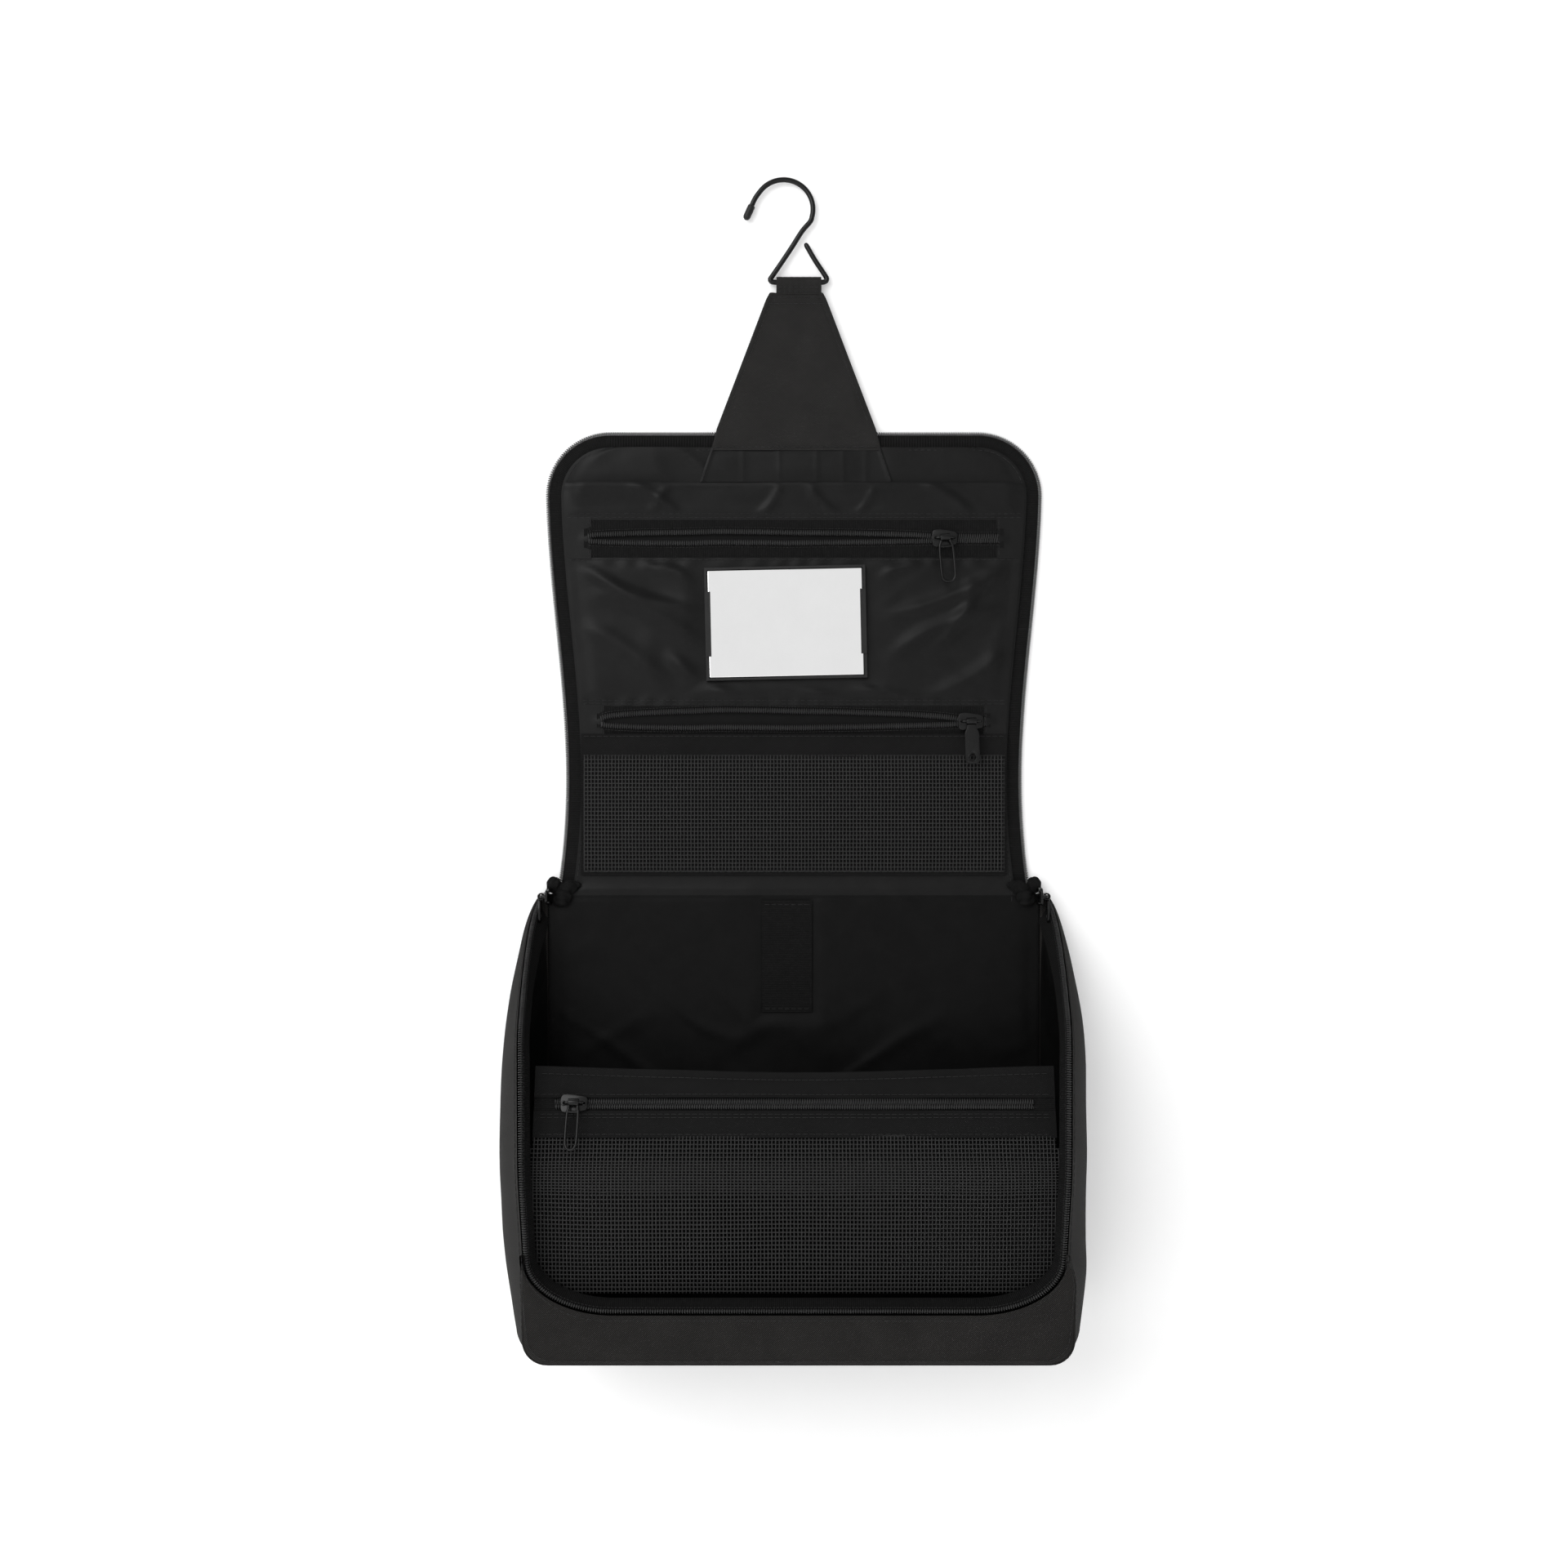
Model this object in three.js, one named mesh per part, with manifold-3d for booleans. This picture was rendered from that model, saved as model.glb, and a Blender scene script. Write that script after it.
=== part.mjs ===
// Hanging toiletry bag, shown open: wire hook, strap, fold-up lid with pockets and a
// mirror, and a zip-round body with a mesh pocket. Millimetres, +Z up, -Y to the front.
// The origin is the point under the hook's crown that bears on a peg.
// Lid pieces are drawn in (x, t, n): across, up from the waist, and out from its plane.
import * as THREE from "three";
import { mergeVertices } from "three/addons/utils/BufferGeometryUtils.js";
import Module from "manifold-3d";

const wasm = await Module();
wasm.setup();

// ---- driving dimensions -------------------------------------------------
const gap = 0.3;               // clearance between neighbouring pieces
const bagX = 4.6;              // the bag's centre line, beside the crown
const waistZ = -328;           // fold line between lid and body
const lidLength = 212;         // waist to the lid's top edge
const bendLow = 88;            // height of the lid's lower bend above the waist
const bendTop = 152;           // height of its upper bend
const lidAngles = [49.15, 19.5, -4.6];   // closed lid's three lengths, from straight down
const lidCornerR = 30;
const tapeWidth = 6.8;
const coilR = 1.0;
const bodyHeight = 199;        // waist to the bottom's outer face
const backHalf = 114;          // half width of the back panel
const bodyCornerR = 10;
const cloth = 1.0;             // thickness of canvas and lining
const wall = 2;                // the back faces rest on a wall at this y

const wireR = 1.2;
const crownR = 13.7;           // hook crown's centre-line radius
const barDrop = 46.4;          // hook bar below the crown's bearing point
const strapX = 1.1;            // strap's centre line, beside the bag's

const radians = THREE.MathUtils.degToRad;
const group = new THREE.Group();
const bag = new THREE.Group();
const lid = new THREE.Group();
bag.position.set(bagX, 0, waistZ);
lid.rotation.x = Math.PI / 2;
bag.add(lid);
group.add(bag);

// ---- materials ----------------------------------------------------------
function finish(color, roughness, metalness = 0) {
  return () => new THREE.MeshStandardMaterial({ color, roughness, metalness });
}
const canvas = finish(0x242322, 0.85);
const webbing = finish(0x2b2a29, 0.85);
const lining = finish(0x141414, 0.45);
const netting = finish(0x171717, 0.7);
const ribbon = finish(0x121212, 0.8);
const nylonCoil = finish(0x1a1a1a, 0.4);
const coatedSteel = finish(0x111111, 0.35, 0.3);
const plastic = finish(0x1b1b1b, 0.45);
const mirrorGlass = finish(0xe8e8e8, 0.05, 1);

function addPart(parent, name, geometry, material) {
  const mesh = new THREE.Mesh(geometry, material());
  mesh.name = name;
  parent.add(mesh);
  return mesh;
}

// ---- solid helpers ------------------------------------------------------
function toSolid(geometry) {
  const bare = geometry.clone();
  bare.deleteAttribute("normal");
  bare.deleteAttribute("uv");
  const merged = mergeVertices(bare, 1e-4);
  return new wasm.Manifold(new wasm.Mesh({
    numProp: 3,
    vertProperties: new Float32Array(merged.attributes.position.array),
    triVerts: new Uint32Array(merged.index.array),
  }));
}

function toGeometry(solid) {
  const mesh = solid.getMesh();
  const geometry = new THREE.BufferGeometry();
  geometry.setAttribute("position", new THREE.BufferAttribute(mesh.vertProperties, 3));
  geometry.setIndex(new THREE.BufferAttribute(mesh.triVerts, 1));
  geometry.computeVertexNormals();
  return geometry;
}

function join(...geometries) {
  const solids = geometries.map(toSolid);
  return toGeometry(solids.reduce((whole, piece) => whole.add(piece)));
}

function block(x0, x1, y0, y1, z0, z1) {
  const geometry = new THREE.BoxGeometry(x1 - x0, y1 - y0, z1 - z0);
  geometry.translate((x0 + x1) / 2, (y0 + y1) / 2, (z0 + z1) / 2);
  return geometry;
}

// A box bent into shape: place(u, v, w) gives the point for 0..1 along each side.
function bentBox(uSteps, vSteps, place) {
  const geometry = new THREE.BoxGeometry(1, 1, 1, uSteps, vSteps, 1);
  const points = geometry.attributes.position;
  for (let i = 0; i < points.count; i += 1) {
    const [x, y, z] = place(points.getX(i) + 0.5, points.getY(i) + 0.5, points.getZ(i) + 0.5);
    points.setXYZ(i, x, y, z);
  }
  return geometry;
}

function mirrored(geometry) {
  const copy = geometry.clone();
  copy.scale(-1, 1, 1);
  const order = copy.index.array;
  for (let i = 0; i < order.length; i += 3) {
    [order[i], order[i + 2]] = [order[i + 2], order[i]];
  }
  return copy;
}

function plate(outline, thickness, base = 0) {
  const geometry = new THREE.ExtrudeGeometry(outline, {
    depth: thickness, bevelEnabled: false, curveSegments: 10,
  });
  geometry.translate(0, 0, base);
  return geometry;
}

function rod(path, radius, sides, steps) {
  const section = new THREE.Shape();
  for (let i = 0; i < sides; i += 1) {
    const angle = (2 * Math.PI * i) / sides;
    const method = i === 0 ? "moveTo" : "lineTo";
    section[method](radius * Math.cos(angle), radius * Math.sin(angle));
  }
  return new THREE.ExtrudeGeometry(section, { steps, extrudePath: path, bevelEnabled: false });
}

function rectangle(x0, x1, y0, y1) {
  const shape = new THREE.Shape();
  shape.moveTo(x0, y0);
  shape.lineTo(x1, y0);
  shape.lineTo(x1, y1);
  shape.lineTo(x0, y1);
  shape.closePath();
  return shape;
}

const smooth = (value) => THREE.MathUtils.smoothstep(value, 0, 1);

// ---- hook ---------------------------------------------------------------
// One bent wire: tip, crown, long diagonal, bar and a short leg that ends beside it.
function hookPath() {
  const path = new THREE.CurvePath();
  const crown = new THREE.Vector2(-0.2, wireR - crownR);
  const flat = (x, z) => new THREE.Vector3(x, 0, z);
  const onCrown = (degrees) => flat(
    crown.x + crownR * Math.cos(radians(degrees)),
    crown.y + crownR * Math.sin(radians(degrees)),
  );
  const points = [flat(-16.2, -13.6), flat(-13.6, -7.8)];
  for (let degrees = 145; degrees >= -25; degrees -= 10) points.push(onCrown(degrees));
  const bar = -barDrop;
  points.push(flat(8.4, -22.8), flat(3.6, -30.3), flat(-1.2, -37.5), flat(-5.4, -43.6));
  points.push(flat(-6.4, bar + 1.2), flat(-5.2, bar), flat(0, bar), flat(6.6, bar), flat(13.2, bar));
  points.push(flat(18.6, bar), flat(19.9, bar + 1.3), flat(18.9, bar + 3.4), flat(14.4, -36.2));
  points.push(flat(9.9, -28.4));
  path.add(new THREE.CatmullRomCurve3(points, false, "centripetal"));
  return path;
}
addPart(group, "hook_wire", rod(hookPath(), wireR, 10, 90), coatedSteel);

function hookTip() {
  const profile = [[0, 0], [1.5, 0], [1.7, 0.8], [1.7, 6.0], [1.1, 7.2], [0, 7.5]];
  const cap = new THREE.LatheGeometry(profile.map(([r, h]) => new THREE.Vector2(r, h)), 12);
  const bore = new THREE.CylinderGeometry(wireR + 0.1, wireR + 0.1, 5.4, 12);
  bore.translate(0, 0.9, 0);
  return toGeometry(toSolid(cap).subtract(toSolid(bore)));
}
const tip = addPart(group, "hook_tip", hookTip(), plastic);
const tipDirection = new THREE.Vector3(-2.6, 0, -5.8).normalize();
tip.position.set(-14.9, 0, -10.7);
tip.quaternion.setFromUnitVectors(new THREE.Vector3(0, 1, 0), tipDirection);

// ---- strap --------------------------------------------------------------
const strapBack = 0.7;         // strap lies in front of the lid's lining, from here...
const strapThick = 1.5;        // ...this thick
const strapTopHalf = 12.7;
const loopHalf = 10.6;
const strapBaseHalf = 37;
const strapTop = -waistZ - 51.8;
const strapFold = lidLength + 1;   // height of the fold between strap and lid

function strapLoop() {
  const outline = new THREE.Shape();
  const outerR = wireR + 1.15;
  const tailStart = barDrop - 51.5;
  outline.moveTo(-outerR, 0);
  outline.absarc(0, 0, outerR, Math.PI, 0, true);
  outline.lineTo(outerR, -2.2);
  outline.lineTo(strapBack + strapThick, tailStart);
  outline.lineTo(strapBack, tailStart);
  outline.lineTo(-0.9, -2.6);
  outline.closePath();
  const hole = new THREE.Path();
  hole.absarc(0, 0, wireR + gap, 0, 2 * Math.PI, false);
  outline.holes.push(hole);
  const geometry = plate(outline, 2 * loopHalf, -loopHalf);
  geometry.rotateY(-Math.PI / 2);
  return geometry;
}
const loop = addPart(lid, "strap_loop", strapLoop(), webbing);
loop.position.set(strapX + 1.2, -waistZ - barDrop, 0);

function strapOutline(low, high, lowHalf, highHalf) {
  const shape = new THREE.Shape();
  shape.moveTo(-lowHalf, low);
  shape.lineTo(lowHalf, low);
  shape.lineTo(highHalf, high);
  shape.lineTo(-highHalf, high);
  shape.closePath();
  return shape;
}
const strapWeb = strapOutline(strapFold + gap, strapTop, strapBaseHalf, strapTopHalf);
addPart(lid, "strap_web", plate(strapWeb, strapThick, strapBack), webbing).position.x = strapX;
const strapPatch = strapOutline(lidLength - 9, strapFold - gap, strapBaseHalf + 2.6, strapBaseHalf + 0.2);
addPart(lid, "strap_patch", plate(strapPatch, strapThick, strapBack), webbing).position.x = strapX;

// ---- lid ----------------------------------------------------------------
// Half width to the outside of the zip coil, at height t above the waist.
function lidHalf(t) {
  if (t < 50) return 106.3 + 3.7 * ((50 - t) / 50) ** 2;
  return 106.3 + 9.4 * smooth((t - 50) / 140);
}

// Points up the lid's right edge from low to high, set in by inset.
function edgePoints(low, high, inset, steps) {
  const points = [];
  for (let i = 0; i <= steps; i += 1) {
    const t = low + ((high - low) * i) / steps;
    points.push([lidHalf(t) - inset, t]);
  }
  return points;
}

// Points from beside the end of a corner in to the centre line.
function towardsCentre(cornerX, t) {
  return [0.9, 0.7, 0.45, 0.15].map((share) => [cornerX * share, t]);
}

// The same edge, going on round the top corner to the centre line.
function topEdgePoints(low, inset) {
  const cornerStart = lidLength - lidCornerR;
  const points = edgePoints(low, cornerStart, inset, 5);
  const centreX = lidHalf(cornerStart) - lidCornerR;
  const radius = lidCornerR - inset;
  for (let i = 1; i <= 8; i += 1) {
    const angle = (Math.PI / 2) * (i / 8);
    points.push([centreX + radius * Math.cos(angle), cornerStart + radius * Math.sin(angle)]);
  }
  return [...points, ...towardsCentre(centreX, lidLength - inset)];
}

function bothSides(rightEdge) {
  const leftEdge = rightEdge.map(([x, t]) => [-x, t]).reverse();
  return [...rightEdge, ...leftEdge];
}

function outlineOf(points) {
  const shape = new THREE.Shape();
  points.forEach(([x, t], i) => (i === 0 ? shape.moveTo(x, t) : shape.lineTo(x, t)));
  shape.closePath();
  return shape;
}

const canvasBack = -wall;      // outer canvas rests on the wall
const liningBack = canvasBack + cloth + gap;
const panelInset = 2 * coilR + gap + tapeWidth + gap;
const tapeOuter = 2 * coilR + gap;
const tapeInner = tapeOuter + tapeWidth;
const bendGap = 0.5;           // each length stops this far from a bend line
const segments = {
  top: [bendTop + bendGap, lidLength],
  mid: [bendLow + bendGap, bendTop - bendGap],
  low: [1.5, bendLow - bendGap],
};

for (const [name, [low, high]] of Object.entries(segments)) {
  const isTop = name === "top";
  const edge = (inset) => (isTop ? topEdgePoints(low, inset) : edgePoints(low, high, inset, 5));
  const panel = outlineOf(bothSides(edge(panelInset)));
  addPart(lid, `lid_${name}_canvas`, plate(panel, cloth, canvasBack), canvas);
  addPart(lid, `lid_${name}_lining`, plate(panel, cloth, liningBack), lining);

  const tapeBack = canvasBack + 0.5;
  const tapeThick = 1.2;
  const coilAt = tapeBack + tapeThick / 2;
  const coilCurve = (points) => new THREE.CatmullRomCurve3(
    points.map(([x, t]) => new THREE.Vector3(x, t, coilAt)), false, "centripetal",
  );
  if (isTop) {
    const outer = bothSides(edge(tapeOuter));
    const inner = bothSides(edge(tapeInner)).reverse();
    addPart(lid, "lid_top_tape", plate(outlineOf([...outer, ...inner]), tapeThick, tapeBack), ribbon);
    addPart(lid, "lid_top_coil", rod(coilCurve(bothSides(edge(coilR))), coilR, 6, 60), nylonCoil);
  } else {
    const strip = outlineOf([...edge(tapeOuter), ...edge(tapeInner).reverse()]);
    const tape = plate(strip, tapeThick, tapeBack);
    const coil = rod(coilCurve(edge(coilR)), coilR, 6, 8);
    const leftStrip = outlineOf([...edge(tapeOuter), ...edge(tapeInner).reverse()].map(([x, t]) => [-x, t]));
    const leftCoil = rod(coilCurve(edge(coilR).map(([x, t]) => [-x, t])), coilR, 6, 8);
    addPart(lid, `lid_${name}_tape_right`, tape, ribbon);
    addPart(lid, `lid_${name}_tape_left`, plate(leftStrip, tapeThick, tapeBack), ribbon);
    addPart(lid, `lid_${name}_coil_right`, coil, nylonCoil);
    addPart(lid, `lid_${name}_coil_left`, leftCoil, nylonCoil);
  }
}

// ---- lid pockets and mirror ---------------------------------------------
const pocketHalf = 98.8;
const pocketBack = liningBack + cloth + gap;

addPart(lid, "slip_pocket",
  plate(rectangle(-pocketHalf, pocketHalf, 171.6, 188), cloth, pocketBack), lining);

const chainHalf = 1.5;         // coil centre line to the chain's centre line
const chainR = 1.1;
const chainBack = pocketBack + 0.1;

// A zip sewn flat: a tape frame with a slot, and one coil along each side of the slot.
function flatZip(prefix, low, high, chainT, left, right) {
  const frame = rectangle(-pocketHalf, pocketHalf, low, high);
  const slotHalf = chainHalf + chainR + gap;
  frame.holes.push(rectangle(left, right, chainT - slotHalf, chainT + slotHalf));
  addPart(lid, `${prefix}_tape`, plate(frame, 0.9, pocketBack), ribbon);
  for (const [name, sign] of [["upper", 1], ["lower", -1]]) {
    const from = new THREE.Vector3(left + gap, chainT + sign * chainHalf, chainBack + chainR);
    const to = new THREE.Vector3(right - gap, from.y, from.z);
    const path = new THREE.LineCurve3(from, to);
    addPart(lid, `${prefix}_coil_${name}`, rod(path, chainR, 6, 1), nylonCoil);
  }
}
const zipOneT = 162;
const zipTwoT = 77;
flatZip("zip_one", 153, 171.2, zipOneT, -96, 96);
flatZip("zip_two", 71.4, 84.6, zipTwoT, -90, 90);
addPart(lid, "lid_mesh_pocket",
  plate(rectangle(-pocketHalf, pocketHalf, 6, 71.1), cloth, pocketBack), netting);

const trayWidth = 74.7;
const trayHeight = 52.3;
const mirrorWidth = 71.4;
const mirrorHeight = 49.4;
const mirrorThick = 1.6;
const mirrorCentre = new THREE.Vector3(-3.8, 122.8, pocketBack);
const mirrorTilt = radians(1.2);

function mirrorTray() {
  const floor = 1.0;
  const rim = floor + mirrorThick + 0.4;
  const cavityX = mirrorWidth / 2 + 0.35;
  const cavityY = mirrorHeight / 2 + 0.35;
  const outer = block(-trayWidth / 2, trayWidth / 2, -trayHeight / 2, trayHeight / 2, 0, rim);
  const cavity = block(-cavityX, cavityX, -cavityY, cavityY, floor, rim + 1);
  const lipHalf = 15;
  const lips = [1, -1].map((side) => {
    const x0 = side * (cavityX - 1.3);
    const x1 = side * (trayWidth / 2);
    return toSolid(block(Math.min(x0, x1), Math.max(x0, x1), -lipHalf, lipHalf, rim - 0.1, rim + 0.8));
  });
  let solid = toSolid(outer).subtract(toSolid(cavity));
  for (const lip of lips) solid = solid.add(lip);
  return toGeometry(solid);
}
const tray = addPart(lid, "mirror_tray", mirrorTray(), plastic);
tray.position.copy(mirrorCentre);
tray.rotation.z = mirrorTilt;

const mirrorGeometry = block(
  -mirrorWidth / 2, mirrorWidth / 2, -mirrorHeight / 2, mirrorHeight / 2, 1.2, 1.2 + mirrorThick,
);
const mirror = addPart(lid, "mirror_plate", mirrorGeometry, mirrorGlass);
mirror.position.copy(mirrorCentre);
mirror.rotation.z = mirrorTilt;

// ---- zip sliders and pullers --------------------------------------------
// Drawn about the chain's centre at the height of the coils' middle, travel along x.
const sliderHalf = 6;
const sliderTall = 4.3;
const pivotN = 4.6;            // height of the slider's bar over the coils' middle
const barR = 0.6;

function sliderBody() {
  const deck = block(-sliderHalf, sliderHalf, -sliderTall, sliderTall, chainR + gap, chainR + gap + 1.1);
  const webHalf = chainHalf - chainR - gap + 0.25;
  const web = block(-3, 3, -webHalf, webHalf, -0.8, chainR + gap + 0.2);
  const bar = new THREE.CylinderGeometry(barR, barR, 8, 10);
  bar.rotateZ(Math.PI / 2);
  bar.translate(0, 0, pivotN);
  const lugs = [-1, 1].map((side) => {
    const centre = side * 3.7;
    return block(centre - 0.6, centre + 0.6, -1.1, 1.1, chainR + gap + 1.0, pivotN + 1.0);
  });
  return join(deck, web, bar, ...lugs);
}

// A ring on the slider's bar with a tab below it; the tab hangs down from the pivot.
function pullerBody(length, width, holeTop, holeBottom, holeHalf) {
  const eye = new THREE.Shape();
  eye.absarc(0, 0, 1.6, 0, 2 * Math.PI, false);
  const bore = new THREE.Path();
  bore.absarc(0, 0, barR + 0.4, 0, 2 * Math.PI, false);
  eye.holes.push(bore);
  const ring = new THREE.ExtrudeGeometry(eye, { depth: 5.2, bevelEnabled: false, curveSegments: 8 });
  ring.translate(0, 0, -2.6);
  ring.rotateY(Math.PI / 2);
  const tab = rectangle(-width / 2, width / 2, -length, -2.2);
  tab.holes.push(rectangle(-holeHalf, holeHalf, -holeBottom, -holeTop));
  const neck = rectangle(-2.4, 2.4, -2.6, -1.2);
  return join(ring, plate(neck, 1.2, 0.2), plate(tab, 1.2, 0.2));
}

function addSlider(parent, name, x, t, n, pullerSize) {
  const slider = addPart(parent, `${name}_slider`, sliderBody(), coatedSteel);
  slider.position.set(x, t, n);
  const puller = addPart(parent, `${name}_puller`, pullerBody(...pullerSize), coatedSteel);
  puller.position.set(x, t, n + pivotN);
}
const coilMiddle = chainBack + chainR;
const wirePuller = [21, 7.4, 4, 19.2, 1.8];
const tabPuller = [20, 7.4, 15.2, 18.6, 1.7];
addSlider(lid, "zip_one", 69.9, zipOneT, coilMiddle, wirePuller);
addSlider(lid, "zip_two", 82, zipTwoT, coilMiddle, tabPuller);

// ---- body: the rim ------------------------------------------------------
// The closed lid's profile, bent over an arc at each bend line. rim(t, n) is the point a
// length t along it from the waist and n inside it, as [y, z] below the waist.
const bendArc = 10;
function rimAngle(t) {
  const low = THREE.MathUtils.clamp((t - bendLow + bendArc) / (2 * bendArc), 0, 1);
  const top = THREE.MathUtils.clamp((t - bendTop + bendArc) / (2 * bendArc), 0, 1);
  const [first, second, third] = lidAngles;
  return radians(first + (second - first) * low + (third - second) * top);
}

function rim(t, n) {
  const steps = 60;
  let depth = 0;
  let drop = 0;
  for (let i = 0; i < steps; i += 1) {
    const angle = rimAngle((t * (i + 0.5)) / steps);
    depth += (Math.sin(angle) * t) / steps;
    drop += (Math.cos(angle) * t) / steps;
  }
  const angle = rimAngle(t);
  return [-(depth - n * Math.cos(angle)), -(drop + n * Math.sin(angle))];
}

// Half width of the body's zip line at t, and how far the side bulges at a drop.
function rimHalf(t) {
  const share = THREE.MathUtils.clamp(t / 190, 0, 1);
  return 115 + 6.6 * Math.sin(Math.PI * share ** 0.42);
}
function sideBulge(drop) {
  return 14 * Math.sin(Math.PI * (drop / 200) ** 1.15);
}

// The rim's t where its line n inside has the given drop.
function rimAt(drop, n) {
  let low = 0;
  let high = lidLength + 30;
  for (let i = 0; i < 30; i += 1) {
    const middle = (low + high) / 2;
    if (-rim(middle, n)[1] < drop) low = middle;
    else high = middle;
  }
  return low;
}

const coilInset = 4.0;         // the body's coil lies this far inside the closed lid
const rimCornerX = 38;         // the zip line's lower corners are wider than they are tall
const rimCornerT = 24;
const rimStart = 20;
const rimEnd = lidLength - 1;

// The zip line round the opening, from the right end of the waist to the left, as [x, t].
function rimPath(inset) {
  const straightEnd = rimEnd - rimCornerT;
  const right = [];
  for (let i = 0; i <= 14; i += 1) {
    const t = rimStart + ((straightEnd - rimStart) * i) / 14;
    right.push([rimHalf(t) - inset, t]);
  }
  const centreX = rimHalf(straightEnd) - rimCornerX;
  for (let i = 1; i <= 9; i += 1) {
    const angle = (Math.PI / 2) * (i / 9);
    const across = (rimCornerX - inset) * Math.cos(angle);
    right.push([centreX + across, straightEnd + (rimCornerT - inset) * Math.sin(angle)]);
  }
  right.push(...towardsCentre(centreX, rimEnd - inset));
  return bothSides(right);
}

function alongPath(points, share) {
  const position = share * (points.length - 1);
  const index = Math.min(Math.floor(position + 1e-9), points.length - 2);
  const rest = position - index;
  const [x0, t0] = points[index];
  const [x1, t1] = points[index + 1];
  return [x0 + (x1 - x0) * rest, t0 + (t1 - t0) * rest];
}

function rimCoil() {
  const points = rimPath(coilR + 0.1).map(([x, t]) => {
    const [y, z] = rim(t, coilInset);
    return new THREE.Vector3(x, y, z);
  });
  return rod(new THREE.CatmullRomCurve3(points, false, "centripetal"), coilR, 6, 84);
}
addPart(bag, "body_coil", rimCoil(), nylonCoil);

function rimTape() {
  const outer = rimPath(0.4);
  const inner = rimPath(1.4);
  const front = coilInset + coilR + gap;
  return bentBox(outer.length - 1, 1, (u, v, w) => {
    const [x, t] = alongPath(w > 0.5 ? outer : inner, u);
    const [y, z] = rim(t, front + tapeWidth * v);
    const lean = 4 * v * (1 - smooth(t / 80));
    return [x - Math.sign(x) * lean, y, z];
  });
}
addPart(bag, "body_tape", rimTape(), ribbon);

// ---- body: back, sides, bottom and front --------------------------------
const backTop = -1.5;
function backPanel(y, inset) {
  const shape = new THREE.Shape();
  const half = backHalf - inset;
  const bottom = -bodyHeight + 1.6 + inset;
  shape.moveTo(-half + bodyCornerR, bottom);
  shape.lineTo(half - bodyCornerR, bottom);
  shape.absarc(half - bodyCornerR, bottom + bodyCornerR, bodyCornerR, -Math.PI / 2, 0, false);
  shape.lineTo(half, backTop);
  shape.lineTo(-half, backTop);
  shape.absarc(-half + bodyCornerR, bottom + bodyCornerR, bodyCornerR, Math.PI, 1.5 * Math.PI, false);
  shape.closePath();
  const geometry = plate(shape, cloth);
  geometry.rotateX(Math.PI / 2);
  geometry.translate(0, y, 0);
  return geometry;
}
addPart(bag, "back_canvas", backPanel(wall, 0), canvas);
addPart(bag, "back_lining", backPanel(wall - cloth - gap, 2.4), lining);

// The boxing strip's outline seen from the front: down the side, round the lower corner and
// in to the joining seam. Gives [x of the back edge, x of the front edge, drop] for 0..1.
const sideEnd = bodyHeight - bodyCornerR;
const sideStart = 18.5;
const cornerShare = 0.78;      // share of the strip's steps above the corner
const frontInset = 4.6;        // the strip's front edge behind the front panel
const stripInset = 7.2;        // and behind the coil along the sides

function stripPoint(share, inset) {
  const down = Math.min(share / cornerShare, 1);
  const turn = (Math.max(share - cornerShare, 0) / (1 - cornerShare)) * (Math.PI / 2);
  const radius = bodyCornerR - inset;
  const drop = sideStart + (sideEnd - sideStart) * down + radius * Math.sin(turn);
  const side = sideStart + (sideEnd - sideStart) * down;
  const aside = radius * (1 - Math.cos(turn)) + inset;
  const front = rimHalf(rimAt(side, stripInset)) + 0.9 - gap;
  return [backHalf + 1.5 - aside, front + 1.2 - aside, drop, side];
}

// A sheet of the boxing strip, thick inwards from its outer face, from the back to the rim.
// It stops short of the back and front edges by the two margins.
const stripBackY = 0.5;
function boxingStrip(inset, thickness, backMargin, frontMargin) {
  return bentBox(26, 8, (u, v, w) => {
    const [backX, frontX, drop, side] = stripPoint(u, inset + thickness * w);
    const nearPanel = smooth((side - 150) / 18);
    const frontN = stripInset + (frontInset - stripInset) * nearPanel;
    const frontY = rim(rimAt(Math.min(drop, bodyHeight - 4), frontN), frontN)[0];
    const depth = stripBackY - frontY;
    const share = (backMargin + (depth - backMargin - frontMargin) * v) / depth;
    const corner = Math.max(u - cornerShare, 0) / (1 - cornerShare);
    const bulge = sideBulge(side) * Math.sin(Math.PI * share) * (1 - corner);
    return [backX + (frontX - backX) * share + bulge, stripBackY - depth * share, -drop];
  });
}
const sideStrip = boxingStrip(0, cloth, 0, 0);
addPart(bag, "gusset_right", sideStrip, canvas);
addPart(bag, "gusset_left", mirrored(sideStrip), canvas);
const liningThick = 0.8;
const sideLining = boxingStrip(cloth + 1.3 * gap, liningThick, 1.2, 6);
addPart(bag, "lining_right", sideLining, lining);
addPart(bag, "lining_left", mirrored(sideLining), lining);

const bottomHalf = backHalf + 1.5 - bodyCornerR - gap;
const bottomFrontY = rim(rimAt(bodyHeight - 4, frontInset), frontInset)[0];
addPart(bag, "gusset_bottom", block(
  -bottomHalf, bottomHalf, bottomFrontY, stripBackY, -bodyHeight, -bodyHeight + cloth,
), canvas);
const liningFloor = -bodyHeight + cloth + gap;
addPart(bag, "lining_bottom", block(
  -bottomHalf, bottomHalf, bottomFrontY + 3, stripBackY - 1.2, liningFloor, liningFloor + liningThick,
), lining);

// Bends a flat piece drawn in (x, t, n) onto the closed lid's profile.
function ontoRim(geometry) {
  const points = geometry.attributes.position;
  for (let i = 0; i < points.count; i += 1) {
    const [y, z] = rim(points.getY(i), points.getZ(i));
    points.setXYZ(i, points.getX(i), y, z);
  }
  return geometry;
}

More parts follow.
